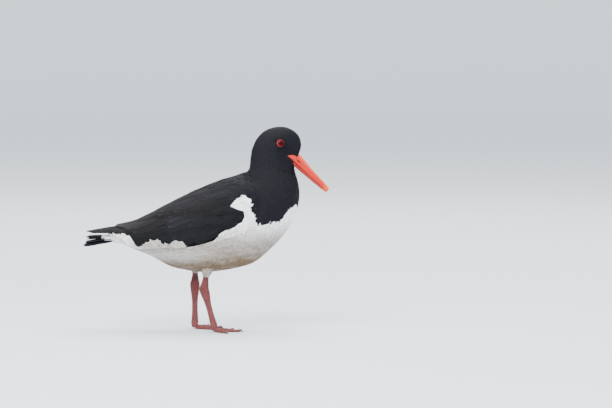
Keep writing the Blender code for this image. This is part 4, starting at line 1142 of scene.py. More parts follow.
# Nostril: place along the bill, height, half length and depth; then the depth of the groove ahead of it.
NOSTRIL = (17.6, 0.9, 3.9, 1.4)
GROOVE = 0.38


def bill_section(share):
    """Heights of ridge, mouth and keel and the half width at shares of the bill's length."""
    rows = np.interp(share, BILL[:, 0], np.arange(len(BILL)))
    return np.moveaxis(spline(BILL, rows), -1, 0)[1:]


def build_bill():
    """Both halves of the bill, each a half superellipse from its mouth edge over its ridge or keel, grooved
    along the side from the nostril, the cutting edges drawn in to a fine dark line."""
    tip = 0.96 + 0.04 * np.sin(np.linspace(0, 0.5 * np.pi, 14))[1:]
    share = np.concatenate([np.linspace(0, 0.96, 120), tip])[:, None]
    turn = np.linspace(0, np.pi, 46)[None]
    ridge, mouth, keel, width = bill_section(share)
    along = share * BILL_LENGTH
    end = np.sqrt(np.clip(1 - ((share - 0.985) / 0.0155).clip(0, 1) ** 2, 0.02, 1))
    for name, node, sign in (("bill_top", "bill_upper", 1), ("bill_bottom", "bill_lower", -1)):
        edge = (ridge if sign > 0 else keel) - mouth
        height = mouth + edge * end * np.sin(turn) ** BILL_ROUND
        reach = width * end * signed_power(np.cos(turn), BILL_SQUARE) * (1.0 if sign > 0 else 0.96)
        slot = 0 * height
        if sign > 0:
            groove = np.exp(-((height - 0.8 + 0.02 * along) / 1.1) ** 2)
            groove = groove * smooth(4, 12, along) * smooth(52, 34, along)
            slot_along, slot_height, slot_half, slot_deep = NOSTRIL
            slot = np.exp(-((along - slot_along) / slot_half) ** 4 - ((height - slot_height) / 0.62) ** 2)
            deep = GROOVE * groove + slot_deep * slot
            reach = reach - np.sign(reach) * np.minimum(deep, 0.8 * np.abs(reach))
        reach = reach * (1 - 0.10 * np.exp(-((height - mouth) / 0.55) ** 2))
        place = (BILL_ROOT + BILL_AXIS * along[..., None] + BILL_UP * (height + 0.10 * sign)[..., None]
                 + ACROSS * reach[..., None])
        obj = solid(name, place, red_bill_horn())
        field = np.broadcast_arrays(share, sign * np.abs(height - mouth) / np.abs(edge), slot)
        caps = np.array([[0.0, 0.5, 0.0], [1.0, 0.5, 0.0]])
        put_attribute(obj, "bill", np.vstack([np.stack(field, -1).reshape(-1, 3), caps]))
        sharpen(obj, BILL_SHARP)
        finish_piece(obj, "bill_horn", node)


# Wings.

# Across a long feather, and along it, closer together towards its tip.
LONG_ACROSS = np.array([-1.0, -0.72, -0.40, -0.08, 0.0, 0.08, 0.40, 0.72, 1.0])
LONG_END = 0.78 + 0.22 * np.sin(np.linspace(0, 0.5 * np.pi, 9))
LONG_ALONG = np.concatenate([np.linspace(0, 0.78, 13)[:-1], LONG_END])
LEAST_LIFT = 0.8
# The way over the wing's curve, over the straight way between its edges.
WING_BULGE = 1.1
# The slab under the wing's feathers: how far it lies over and under the wing's surface, and its rear end.
WING_CORE_LIFT, WING_CORE_DEPTH, WING_CORE_REAR = 1.3, 2.5, -97.0

# Wing feathers: count, then at the lower edge, middle and top of their span the x of root (3) and of tip (3);
# span of t at the root (2) and at the tip (2); half width, height at the root and at the tip; brown share,
# worn fringe, share where the tip begins to round.
WING_ROWS = {
    "secondary": (15, -20, -24, -30, -102, -116, -112, 0.1, 0.66, 0.03, 0.6, 5.4, 2.8, 4.2, 0.05, 0.06, 0.74),
    "greater": (21, 18, 12, 2, -48, -52, -74, 0.13, 0.95, 0.035, 0.8, 4.4, 2.4, 4.4, 0.22, 0.15, 0.72),
    "median": (20, 40, 34, 27, -14, -20, -42, 0.11, 0.94, 0.036, 0.82, 4.0, 2.2, 4.2, 0.15, 0.12, 0.7),
    "lesser_1": (19, 44, 40, 30, 4, 0, -20, 0.1, 0.94, 0.036, 0.84, 3.7, 2.2, 4.0, 0.1, 0.09, 0.66),
    "lesser_2": (19, 50, 47, 36, 16, 12, -8, 0.1, 0.94, 0.036, 0.85, 3.5, 2.1, 3.8, 0.08, 0.11, 0.64),
    "lesser_3": (19, 55, 53, 42, 26, 22, 4, 0.1, 0.94, 0.036, 0.86, 3.3, 1.9, 3.7, 0.07, 0.09, 0.62),
    "lesser_4": (19, 59, 59, 46, 36, 33, 15, 0.09, 0.94, 0.036, 0.87, 3.2, 1.6, 3.5, 0.06, 0.08, 0.62),
    "lesser_5": (19, 60, 63, 48, 45, 44, 26, 0.09, 0.92, 0.04, 0.88, 3.1, 1.3, 3.2, 0.05, 0.07, 0.62),
    "tertials": (8, -16, -20, -28, -104, -127, -119, 0.52, 0.9, 0.405, 0.93, 5.8, 3.4, 4.8, 0.7, 0.4, 0.7),
    "scapulars_6": (10, -12, -8, -12, -78, -94, -90, 0.42, 0.97, 0.66, 0.96, 5.4, 3.6, 5.1, 0.62, 0.42, 0.66),
    "scapulars_5": (12, 4, 10, 6, -50, -68, -70, 0.34, 0.97, 0.53, 0.95, 4.9, 3.6, 5.2, 0.56, 0.42, 0.66),
    "scapulars_4": (13, 22, 26, 20, -26, -42, -48, 0.29, 0.97, 0.42, 0.95, 4.5, 3.5, 5.2, 0.48, 0.38, 0.64),
    "scapulars_3": (13, 38, 40, 32, -6, -18, -26, 0.27, 0.97, 0.33, 0.95, 4.2, 3.3, 5.1, 0.38, 0.3, 0.62),
    "scapulars_2": (13, 50, 50, 42, 12, 6, -2, 0.26, 0.97, 0.29, 0.95, 4.0, 3.0, 4.9, 0.28, 0.22, 0.6),
    "scapulars_1": (13, 58, 58, 47, 34, 28, 20, 0.26, 0.97, 0.27, 0.95, 3.7, 2.4, 4.5, 0.18, 0.15, 0.6),
    "scapulars_0": (17, 68, 68, 52, 48, 45, 32, 0.4, 0.99, 0.32, 0.97, 3.5, 0.4, 3.9, 0.06, 0.05, 0.6),
}
WING_GROUPS = {"coverts": ("greater", "median", "lesser"), "scapulars": ("tertials", "scapulars")}
# White feathers over the wing's bend and over its lower edge: span of x, spacing, lean up the wing, length
# from and to, lift of root and tip, random spread of their painted shade, how ragged their edge is.
WING_WHITES = {
    "shoulder_patch": ((-24.0, 68.0), 1.6, 0.25, (5.0, 7.5), (3.4, 4.8), 0.02, 0.7),
    "flank_feathers": ((-150.0, -22.0), 1.5, 0.85, (5.0, 8.5), (4.4, 5.4), 0.10, 1.3),
}
# Painted shade: the secondaries and the lowest coverts are darker by this much of the random shade's range,
# for the shade over the lower wing.
LOWER_WING_SHADE = 1.5
# The primaries, longest and lowest first: x of root and tip, t at root and tip, half width, height.
PRIMARIES = np.array([
    (-70, -167.5, 0.44, 0.55, 5.2, 1.6), (-66, -158.5, 0.41, 0.50, 5.4, 2.1),
    (-62, -149.0, 0.38, 0.44, 5.8, 2.6), (-58, -139.0, 0.35, 0.36, 6.2, 3.1),
    (-54, -129.0, 0.32, 0.30, 6.6, 3.6),
])


def wing_depth(x):
    """How far it is over the wing from its lower to its upper edge: the straight way and a share more."""
    return WING_BULGE * np.linalg.norm(wing_point(x, 1.0) - wing_point(x, 0.0), axis=-1)


def long_vanes(place, depth, root, tip, half, lift, tilt, rounding, chance, least=LEAST_LIFT):
    """Long feathers laid on a surface, with where their points lie along and across them and their lengths:
    each shaft runs straight from root to tip in the surface's own (x, t), the vane swells from 0.5 to full
    width and closes in a quarter ellipse from the rounding share on, arched by 1 - w^2, ridged along the
    shaft and notched here and there along its rim."""
    count, rows, columns = len(root), len(LONG_ALONG), len(LONG_ACROSS)
    s, w = LONG_ALONG[None, :, None], LONG_ACROSS[None, None, :]
    close = np.clip((s - rounding) / (1 - rounding), 0, 1)
    outline = (0.5 + 0.5 * smooth(0.0, 0.4, s)) * np.sqrt(np.clip(1 - close**2.3, 0.035, 1))
    x, t = (each(root[:, i]) + each(tip[:, i] - root[:, i]) * s for i in (0, 1))
    x = x + 0 * w
    t = t + chance.normal(0, 0.006, (count, 1, 1)) * np.sin(np.pi * s)
    notch = chance.uniform(0.05, 0.24, (count, rows, 2)) * (chance.random((count, rows, 2)) < 0.16)
    rim = np.ones((count, rows, columns))
    rim[:, 4:-1, [0, -1]] -= notch[:, 4:-1]
    offset = w * each(half) * outline * rim / depth(x)
    wave = 0.10 * np.sin(s * 9 + 6.28 * chance.random((count, 1, 1))) * np.abs(w)
    height = (
        each(lift[:, 0]) + each(lift[:, 1] - lift[:, 0]) * s
        + tilt * w * outline + (0.35 * (1 - w**2) + 0.16 * (w == 0) + wave) * outline
    )
    grid = place(x, t - offset, np.maximum(height, least))
    return grid, np.broadcast_arrays(s, w), np.abs(tip[:, 0] - root[:, 0])


def cell_uv(count, shares):
    """One cell of a square grid of the bake map for each long feather."""
    side = int(np.ceil(np.sqrt(count)))
    index = each(np.arange(count))
    along, across = shares
    return np.stack([index % side + 0.5 + 0.44 * across, index // side + 0.06 + 0.88 * along], -1) / side


def flipped(grid, shares, side):
    """A right wing's feathers as they are, or mirrored for the left one with their columns turned."""
    if side < 0:
        return grid, shares
    return grid[:, :, ::-1] * (1.0, -1.0, 1.0), [s[:, :, ::-1] for s in shares]


def add_long(name, side_name, rows, slot):
    """Joins rows of long feathers, each its grid, tones and lengths, into one piece of a side."""
    grid, tone, length = (np.concatenate(part) for part in zip(*rows))
    shares = np.broadcast_arrays(LONG_ALONG[None, :, None], LONG_ACROSS[None, None, :])
    grid, shares = flipped(grid, shares, SIDES[side_name])
    uv = cell_uv(len(grid), shares)
    obj = vane_object(f"{name}_{side_name}", grid, tone, uv, shares, length, plumage("wing"))
    put_attribute(obj, "white", np.clip(white_depth(grid, True), -MARK_DEPTH, MARK_DEPTH).ravel())
    finish_piece(obj, slot, f"wing_{side_name}")


def wing_row(row, chance, shaded=None):
    """One row of wing feathers from its table line, with small random slips. The lowest carry painted shade,
    or all of them by a given share."""
    count, (half, low, high, brown, fringe, rounding) = row[0], row[11:]
    share = np.linspace(0, 1, count)
    root, tip = (
        np.stack([np.interp(share, (0, 0.5, 1), at_x), at_t[0] + (at_t[1] - at_t[0]) * share], -1)
        for at_x, at_t in ((row[1:4], row[7:9]), (row[4:7], row[9:11])))
    tip[:, 0] += chance.normal(0, 2.6, count)
    tip[:, 1] += chance.normal(0, 0.008, count)
    lift = np.stack([np.full(count, low), high + chance.normal(0, 0.10, count)], -1)
    half = half * chance.uniform(0.92, 1.08, count)
    grid, _, length = long_vanes(wing_layered, wing_depth, root, tip, half, lift, 0.5, rounding, chance)
    # Painted shade on the lowest feathers of the row.
    dark = LOWER_WING_SHADE * (smooth(0.5, 0.1, share) if shaded is None else shaded)
    tone = np.stack([
        np.clip(brown + chance.normal(0, 0.14, count), 0, 1), chance.random(count) - dark,
        np.clip(fringe + chance.normal(0, 0.12, count), 0, 1)], -1)
    return grid, tone, length


def build_wing_core(side_name):
    """The slab under the wing's feathers: the wing's surface raised and lowered, sewn along its rim."""
    share = np.linspace(0, 1, 90)[:, None]
    t = np.linspace(0.004, 0.98, 40)[None] + 0 * share
    x = wing_front(t) + (WING_CORE_REAR - wing_front(t)) * share**1.15
    front = smooth(0.0, 0.10, share)
    top = wing_lifted(x, t, 0.4 + (WING_CORE_LIFT - 0.4) * front)
    low = wing_lifted(x, t, -WING_CORE_DEPTH * (0.3 + 0.7 * front))
    at = np.arange(x.size).reshape(x.shape)
    quads = grid_quads(at)
    rim = np.concatenate([at[0, :-1], at[:-1, -1], at[-1, :0:-1], at[:0:-1, 0]])
    wall = np.stack([rim, np.roll(rim, -1), np.roll(rim, -1) + x.size, rim + x.size], -1)
    points = np.vstack([top.reshape(-1, 3), low.reshape(-1, 3)]) * (1, -SIDES[side_name], 1)
    faces = np.vstack([quads, quads[:, ::-1] + x.size, wall])
    obj = new_object(f"wing_core_{side_name}", points, [faces], skin_under_feathers())
    outward(obj)
    # White parts of the core take a tenth of the painted shade's colour.
    put_tone(obj, points, (0.1, 0.5, 0.0), True)
    place = np.stack([(x + 100) / 170 * 0.48, 0.02 + 0.96 * t], -1).reshape(-1, 2)
    put_uv(obj, np.vstack([place, place + (0.51, 0.0)]))
    finish_piece(obj, "black_plumage", f"wing_{side_name}")


def primaries(chance):
    """The primaries as a row of wing feathers, from their table."""
    count = len(PRIMARIES)
    lift = np.stack([PRIMARIES[:, 5], PRIMARIES[:, 5] + 0.3], -1)
    grid, _, length = long_vanes(wing_layered, wing_depth, PRIMARIES[:, [0, 2]], PRIMARIES[:, [1, 3]],
                                 PRIMARIES[:, 4], lift, 0.15, 0.80, chance)
    tone = np.stack([chance.uniform(0, 0.2, count), chance.random(count), np.full(count, 0.15)], -1)
    return grid, tone, length


def build_wings():
    """Both wings: core, flight feathers, rows of coverts, scapulars, and the white feathers over them."""
    for side_name, side in SIDES.items():
        chance = np.random.default_rng(SEED + 10 + side)
        build_wing_core(side_name)
        # The secondaries all take the lower wing's painted shade.
        flight = [primaries(chance), wing_row(WING_ROWS["secondary"], chance, 1.0)]
        add_long("flight_feathers", side_name, flight, "black_plumage")
        for group, starts in WING_GROUPS.items():
            rows = [wing_row(row, chance) for name, row in WING_ROWS.items() if name.startswith(starts)]
            add_long(group, side_name, rows, "brown_black_plumage")
        for name, measures in WING_WHITES.items():
            wing_whites(name, side_name, *measures, chance)


def wing_whites(name, side_name, x_range, spacing, lean, sizes, lifts, soil, ragged, chance):
    """White feathers over the wing, leaning up its surface by a share, but down it along the folded wing's
    lower front edge, wherever their tips stay inside the white plumage, give or take a ragged margin."""
    def inside(x, t, point):
        """Where the feathers are rooted: in the white, and not ahead of the wing."""
        return (white_depth(point, True) > 0.0) & (x < wing_front(t) + 1)

    def fits(length):
        """Whether the end of that length stays inside the white."""
        return white_depth(point + flow * length[:, None], True) > margin

    x, t = spread(wing_point, x_range, (0.0, 0.9), spacing, chance, inside, (120, 60))
    point, normal, du, dv = frames(wing_point, x, t, WING_HEAD)
    count = len(x)
    front = (smooth(-28, -18, x) * smooth(168, 160, point[:, 2]))[:, None]
    climb = lean * (1 - front) - 0.40 * front
    flow = unit(-unit(du) + climb * chance.uniform(0.7, 1.3, (count, 1)) * upward(normal))
    flow = unit(flow - normal * dot(flow, normal))
    length = chance.uniform(*sizes, count)
    margin = chance.uniform(-ragged, 0.4, count)
    length = length * np.where(fits(length), 1.0, 0.55)
    kept = fits(length) & fits(0.5 * length)
    x, t, point, normal, du, dv, flow, length = (v[kept] for v in (x, t, point, normal, du, dv, flow, length))
    count = len(x)
    place = (wing_point, (WING_REAR, WING_HEAD), x, t, normal, du, dv)
    bend, roll = (bend_along(*place, way) for way in (flow, np.cross(normal, flow)))
    lift = lifts[0] + chance.uniform(0, 0.5, count)
    half = length * chance.uniform(0.15, 0.21, count)
    rise = lifts[1] - lift + chance.uniform(-0.3, 0.3, count)
    grid, shares = small_vanes(point, normal, flow, length, half, bend, roll, lift, rise, 0.16, chance)
    grid, shares = flipped(grid, shares, SIDES[side_name])
    centre = np.stack([(x - WING_REAR) / (WING_HEAD - WING_REAR), 0.02 + 0.96 * t], -1)
    # Painted shade of the underside, give or take a random share.
    tone = white_tone(np.clip(stain(point) + soil * chance.uniform(-1, 1, count), 0, 1), chance)
    add_small(f"{name}_{side_name}", grid, shares, tone, centre, length, "white")


# Tail.

# Tail fan: x, crown height, drop to the outer edge, half width.
TAIL = np.array([
    (-112.0, 135.0, 5.0, 12.0), (-131.0, 134.6, 8.0, 14.0), (-150.0, 134.4, 9.0, 20.0),
    (-172.0, 132.8, 9.0, 25.5),
])
TAIL_COUNT = 12
TAIL_ROOT, TAIL_TIP, TAIL_BLACK = -118.0, -170.6, -129.0
TAIL_HALF, TAIL_ROUNDING = 4.7, 0.78
# The tail's stub, laid out as the body is.
TAIL_STUB = np.array([
    (-124.3, 139.4, -124.3, 125.6, 13.8), (-130.0, 137.6, -130.0, 125.6, 13.2),
    (-137.0, 135.8, -137.0, 126.6, 11.6), (-143.0, 134.2, -143.0, 128.2, 8.6),
])


def tail_height(place):
    """The tail fan's height at (x, y): its crown's less the drop times (y over half width) squared."""
    crown, drop, half = (np.interp(-place[:, 0], -TAIL[:, 0], column) for column in TAIL.T[1:])
    return crown - drop * (place[:, 1] / half) ** 2


def tail_point(x, y, height):
    """A point of a tail feather, whose height is its own."""
    return np.stack(np.broadcast_arrays(x, y, height), -1)


def stub_point(row, angle):
    """The tail stub's surface, oval rings along its table."""
    return oval(TAIL_STUB, row, angle)


def build_tail():
    """The tail fan, the stub that carries it, and the white feathers over and under it."""
    chance = np.random.default_rng(SEED + 20)
    build_tail_fan(chance)
    build_tail_stub()
    build_tail_coverts(chance)


def build_tail_fan(chance):
    """Tail feathers side by side on the fan, white at the base and black beyond, each over the next outer
    one, the outermost tilted most by a power of its place."""
    share = np.linspace(-1, 1, TAIL_COUNT)
    layer, side = np.abs(share), np.sign(share)
    root = np.stack([np.full(TAIL_COUNT, TAIL_ROOT), 8.0 * share], -1)
    tip = np.stack([TAIL_TIP + chance.uniform(0, 6, TAIL_COUNT) * (1 - layer**8), 21.0 * share], -1)
    lift = np.stack([tail_height(root) - 2.2 * layer,
                     tail_height(tip) - 0.4 * layer - 4.6 * layer**6 + 0.4 * (side > 0)], -1)
    tilt = each(side * (0.4 + 0.6 * layer + 1.7 * layer**8))
    half = np.full(TAIL_COUNT, TAIL_HALF)
    grid, shares, length = long_vanes(
        tail_point, np.ones_like, root, tip, half, lift, tilt, TAIL_ROUNDING, chance, -np.inf)
    x = grid[..., 0]
    edge = TAIL_BLACK + 2.0 * chance.normal(0, 1, (TAIL_COUNT, 1, 1)) + 2.0 * np.abs(shares[1])
    dark = smooth(1.5, -1.5, x - edge)
    tone = np.stack([dark, np.broadcast_to(chance.random((TAIL_COUNT, 1, 1)), x.shape), 0 * x], -1)
    uv = cell_uv(TAIL_COUNT, shares)
    obj = vane_object("tail_feathers", grid, tone, uv, shares, length, plumage("tail"))
    finish_piece(obj, "black_plumage", "tail")


def build_tail_stub():
    """The tail's stub, a closed tube of skin, unwrapped by the angle about its middle line and along x."""
    rings = stub_point(np.linspace(0, 4, 40)[:, None], circle(60)[None])
    stub = solid("tail_stub", rings, skin_under_feathers())
    points = ring_loft(rings)[0]
    put_attribute(stub, "white", np.full(len(points), MARK_DEPTH))
    # The stub takes a fifth of the painted shade's colour.
    put_attribute(stub, "tone", np.tile([0.2, 0.5, 0.0], (len(points), 1)))
    around = np.arctan2(points[:, 1], points[:, 2] - 132) / 6.4 + 0.5
    put_uv(stub, np.stack([around, (points[:, 0] + 145) / 26], -1))
    finish_piece(stub, "white_plumage", "tail")


def build_tail_coverts(chance):
    """White feathers spread over the stub and lying back over the tail, above and below."""
    row, angle = spread(stub_point, (0.0, 3.2), (0.0, FULL_TURN), 2.6, chance, cells=(40, 40))
    count = len(row)
    point, normal, du, _ = frames(stub_point, row, angle, 4.0)
    normal = -normal
    flow = unruly(unit(du), normal, 0.08, chance)
    normal = unit(normal - flow * dot(normal, flow))
    length = chance.uniform(13.0, 19.0, count) * (1 - 0.12 * row)
    half, rise = length * 0.16, chance.uniform(0.3, 1.1, count)
    grid, shares = small_vanes(point, normal, flow, length, half, -0.004, 0.04, -0.5, rise, 0.2, chance)
    # Painted shade: a little of the shade colour on all coverts, more towards the underside of the tail.
    tone = white_tone(0.15 + 0.25 * smooth(136, 124, point[:, 2]), chance)
    centre = np.stack([0.02 + 0.96 * (angle / FULL_TURN), 0.05 + 0.2 * row], -1)
    add_small("tail_coverts", grid, shares, tone, centre, length, "white", "tail")


# Legs and feet.

# Down the shank from the ankle: share of its length, half depth fore and aft, half width.
SHIN = np.array([
    (0.0, 6.8, 4.9), (0.10, 6.5, 4.8), (0.20, 5.8, 4.2), (0.32, 4.8, 3.5), (0.45, 4.2, 3.1),
    (0.68, 4.2, 3.2), (0.86, 4.8, 3.9), (0.97, 5.2, 4.3),
])
# Down the leg from the belly to the ankle: share of that length, half depth and half width.
KNEE = np.array([(0.22, 3.4, 3.0), (0.35, 3.8, 3.0), (0.55, 4.2, 3.2), (0.79, 5.4, 4.0)])
# Joint over the toes, measured from the shank's end: (x, z), half depth, half width.
KNUCKLE = np.array([
    (-0.6, 3.4, 4.9, 4.2), (-0.3, 0.5, 4.8, 4.5), (0.0, -3.0, 4.7, 4.9), (0.4, -5.6, 3.8, 4.2),
])
# Toes: name, angle out from straight ahead, length, half thickness at the root.
TOES = (("inner", 30.0, 29.0, 3.1), ("middle", -3.0, 36.0, 3.3), ("outer", -55.0, 31.0, 3.2))
# Web between two toes: angle and reach along each, then the heights of its under and upper side.
WEB = ((-3.0, 17.0), (-55.0, 15.0))
WEB_HEIGHTS = (1.3, 2.4)
CLAW, TOE_SINK = 4.6, 0.5
LEG_VOXEL = 0.38


def tube_rings(path, ahead, depth, width, fore=None):
    """Oval rings square to a path: cosine times half depth to the fore, sine times half width across."""
    fore = unit(np.cross(ACROSS, ahead)) if fore is None else np.broadcast_to(fore, path.shape)
    across = unit(np.cross(ahead, fore))
    angle = circle(36)[None, :, None]
    fore_part = np.cos(angle) * each(depth) * fore[:, None]
    return path[:, None] + fore_part + np.sin(angle) * each(width) * across[:, None]


def on_floor(rings):
    """Rings with nothing below the floor."""
    rings[..., 2] = np.maximum(rings[..., 2], 0.0)
    return rings


def leg_rings(side):
    """The bare leg, belly to foot joint, along a smooth curve through its table of places and thicknesses."""
    top, ankle, joint = leg_points(side)
    above = top + (ankle - top) * KNEE[:, :1]
    below = ankle + (joint - ankle) * SHIN[:, :1]
    table = np.hstack([np.vstack([above, below]), np.vstack([KNEE, SHIN])[:, 1:]])
    line = spline(table, np.linspace(0, len(table) - 1, 110))
    path = line[:, :3]
    return tube_rings(path, unit(np.gradient(path, axis=0)), line[:, 3], line[:, 4])


def toe_direction(angle, side):
    """The level direction at an angle out from straight ahead."""
    a = np.radians(angle) * -side
    return np.array([np.cos(a), np.sin(a), 0.0])


def toe_rings(angle, length, half, side, joint):
    """A toe along the floor: its size falls evenly and swells by a cosine at each of its joints, with shallow
    rings for its scutes, and its path rises to the foot joint."""
    s = np.linspace(0, 1.0, 90)
    size = half * (1 - 0.36 * s) * (1 + 0.09 * np.cos(FULL_TURN * 3 * s))
    size = size * np.sqrt(np.clip(1 - (s - 0.96).clip(0) / 0.05, 0.2, 1))
    size = size * (1 + 0.022 * np.cos(FULL_TURN * s * length / 1.7))
    ahead = toe_direction(angle, side)
    path = joint + ahead * (length * s)[:, None]
    path[:, 2] = size - TOE_SINK + 2.2 * np.clip(1 - s / 0.25, 0, 1) ** 2
    return on_floor(tube_rings(path, ahead, size, size * 1.05, UP))


def claw_rings(angle, length, half, side, joint):
    """A claw: its size falls to a point as the root of 1 - s^1.7, its path arches up and comes down."""
    s = np.linspace(0, 1, 24)
    size = half * 0.52 * np.sqrt(np.clip(1 - s**1.7, 0.02, 1)) * (1 - 0.35 * s)
    ahead = toe_direction(angle, side)
    path = joint + ahead * (length - 0.8 + (CLAW + 0.6) * s)[:, None]
    path[:, 2] = size * 1.15 + 0.15 + 1.5 * np.sin(np.pi * np.clip(s * 0.9 + 0.1, 0, 1)) * (1 - s)
    return tube_rings(path, ahead, size * 1.15, size * 0.95, UP)


def web_rings(side, joint):
    """The short web between middle and outer toe: a thin wedge with a hollow front edge."""
    (first, first_reach), (second, second_reach) = WEB
    share = np.linspace(0.0, 1.0, 14)[:, None]
    reach = (first_reach * (1 - share) + second_reach * share) * (1 - 0.30 * np.sin(np.pi * share))
    ahead = unit(toe_direction(first, side) * (1 - share) + toe_direction(second, side) * share)
    rim = joint + np.vstack([ahead * reach, (-0.5, 0.0, 0.0) + 0.6 * ahead[::-1]])
    return np.stack([rim + height * UP for height in WEB_HEIGHTS])


def remeshed(name, parts, material):
    """One closed surface round several closed ones: voxel remesh, then a light smoothing."""
    points, groups, offset = [], [[], []], 0
    for rings in parts:
        own, polygons = ring_loft(rings)
        points.append(own)
        for group, polygon in zip(groups, polygons):
            group.append(polygon + offset)
        offset += len(own)
    obj = new_object(name, np.vstack(points), [np.vstack(group) for group in groups], material)
    outward(obj)
    remesh = obj.modifiers.new("voxels", "REMESH")
    remesh.mode, remesh.voxel_size, remesh.use_smooth_shade = "VOXEL", LEG_VOXEL * MM, True
    soften = obj.modifiers.new("soften", "SMOOTH")
    soften.factor, soften.iterations = 0.5, 5
    bake_modifiers(obj)
    obj.data.vertices.foreach_set("co", on_floor(vertex_places(obj.data)).ravel())
    return obj


def build_legs():
    """Bare legs with thick ankles, feet of three toes with scutes and a short web, a claw on each toe."""
    for name, side in SIDES.items():
        _, ankle, joint = leg_points(side)
        foot = ankle + (joint - ankle) * SHIN[-1, 0]
        root, web_root = np.array([foot[0] + 0.4, foot[1], 0.0]), np.array([foot[0], foot[1], 0.0])
        path = foot + np.stack([KNUCKLE[:, 0], 0 * KNUCKLE[:, 0], KNUCKLE[:, 1]], -1)
        knuckle = tube_rings(path, unit(np.gradient(path, axis=0)), KNUCKLE[:, 2], KNUCKLE[:, 3])
        toes = [toe_rings(angle, length, half, side, root) for _, angle, length, half in TOES]
        shapes = {"foot": [on_floor(knuckle), web_rings(side, web_root), *toes], "leg": [leg_rings(side)]}
        for node, parts in shapes.items():
            skin = remeshed(f"bare_{node}_{name}", parts, scaly_leg_skin())
            finish_piece(skin, "leg_skin", f"{node}_{name}")
        for toe, *measures in TOES:
            claw = solid(f"toe_claw_{name}_{toe}", claw_rings(*measures, side, root), dark_claw_horn())
            finish_piece(claw, "claw_horn", f"claw_{name}_{toe}")


# Studio.

VIEW_CENTRE = Vector((0.140, 0.0, 0.1778))
VIEW_WIDTH = 0.8568
SENSOR = 36.0
FLOOR_REACH, FLOOR_BEND, WALL_HEIGHT = 6.4, 0.9, 0.5
FLOOR_FADE = (0.6, 2.6)
LIT_PLACE = Vector((0.0, 0.0, 0.15))
# Lights: name, place and size.
LIGHTS = (("key", (-0.6, -1.9, 2.0), 1.8), ("top", (0.2, 0.5, 2.3), 2.2), ("fill", (1.9, -1.6, 0.9), 1.6))


def build_floor():
    """A pale round floor that curves up all round into a low wall, the same from every side: a profile of a
    straight run, a quarter circle and a straight wall, turned about the vertical."""
    arc = 0.5 * np.pi * FLOOR_BEND
    length = np.linspace(0, FLOOR_REACH + arc + WALL_HEIGHT, 170)[1:]
    turn = np.clip((length - FLOOR_REACH) / FLOOR_BEND, 0, 0.5 * np.pi)
    reach = np.minimum(length, FLOOR_REACH) + FLOOR_BEND * np.sin(turn)
    height = FLOOR_BEND * (1 - np.cos(turn)) + np.clip(length - FLOOR_REACH - arc, 0, None)
    angle = circle(120)
    rings = [np.outer(reach, np.cos(angle)), np.outer(reach, np.sin(angle)), np.outer(height, 1 + 0 * angle)]
    at = np.arange(rings[0].size).reshape(rings[0].shape)
    after = np.roll(at, -1, axis=1)
    quads = np.stack([at[:-1], at[1:], after[1:], after[:-1]], -1).reshape(-1, 4)
    middle = np.stack([np.full(len(angle), at.size), at[0], after[0]], -1)
    points = np.vstack([np.stack(rings, -1).reshape(-1, 3), (0.0, 0.0, 0.0)])
    new_object("floor", points / MM, [quads, middle], pale_floor())


def build_stage():
    """The floor, soft lights that the camera doesn't see, and the camera: a long lens just above level."""
    build_floor()
    scene = bpy.context.scene
    studio = scene.oyster_studio
    world = bpy.data.worlds.new("studio")
    world.use_nodes = True
    background = world.node_tree.nodes["Background"]
    background.inputs["Color"].default_value = (*studio.sky, 1.0)
    background.inputs["Strength"].default_value = studio.sky_strength
    scene.world = world
    for name, place, size in LIGHTS:
        light = bpy.data.lights.new(name, "AREA")
        light.size, light.energy = size, getattr(studio, f"{name}_power")
        lamp = bpy.data.objects.new(name, light)
        lamp.location = place
        lamp.visible_camera = False
        lamp.rotation_euler = (LIT_PLACE - lamp.location).to_track_quat("-Z", "Y").to_euler()
        scene.collection.objects.link(lamp)
    lens = bpy.data.cameras.new("camera")
    lens.sensor_width = SENSOR
    lens.lens = SENSOR * studio.camera_distance / VIEW_WIDTH
    camera = bpy.data.objects.new("camera", lens)
    rise = studio.camera_elevation
    away = Vector((0.0, -np.cos(rise), np.sin(rise))) * studio.camera_distance
    camera.location = VIEW_CENTRE + away
    camera.rotation_euler = (-away).to_track_quat("-Z", "Y").to_euler()
    scene.collection.objects.link(camera)
    scene.camera = camera


# Panel, operators and the run.


def tint(name, description, default):
    """A colour of the panel."""
    return bpy.props.FloatVectorProperty(
        name=name, description=description, subtype="COLOR", size=3, min=0.0, max=1.0, default=default)


def amount(name, description, default, low=0.0, **kind):
    """A number of the panel, with its unit or subtype."""
    return bpy.props.FloatProperty(name=name, description=description, default=default, min=low, **kind)


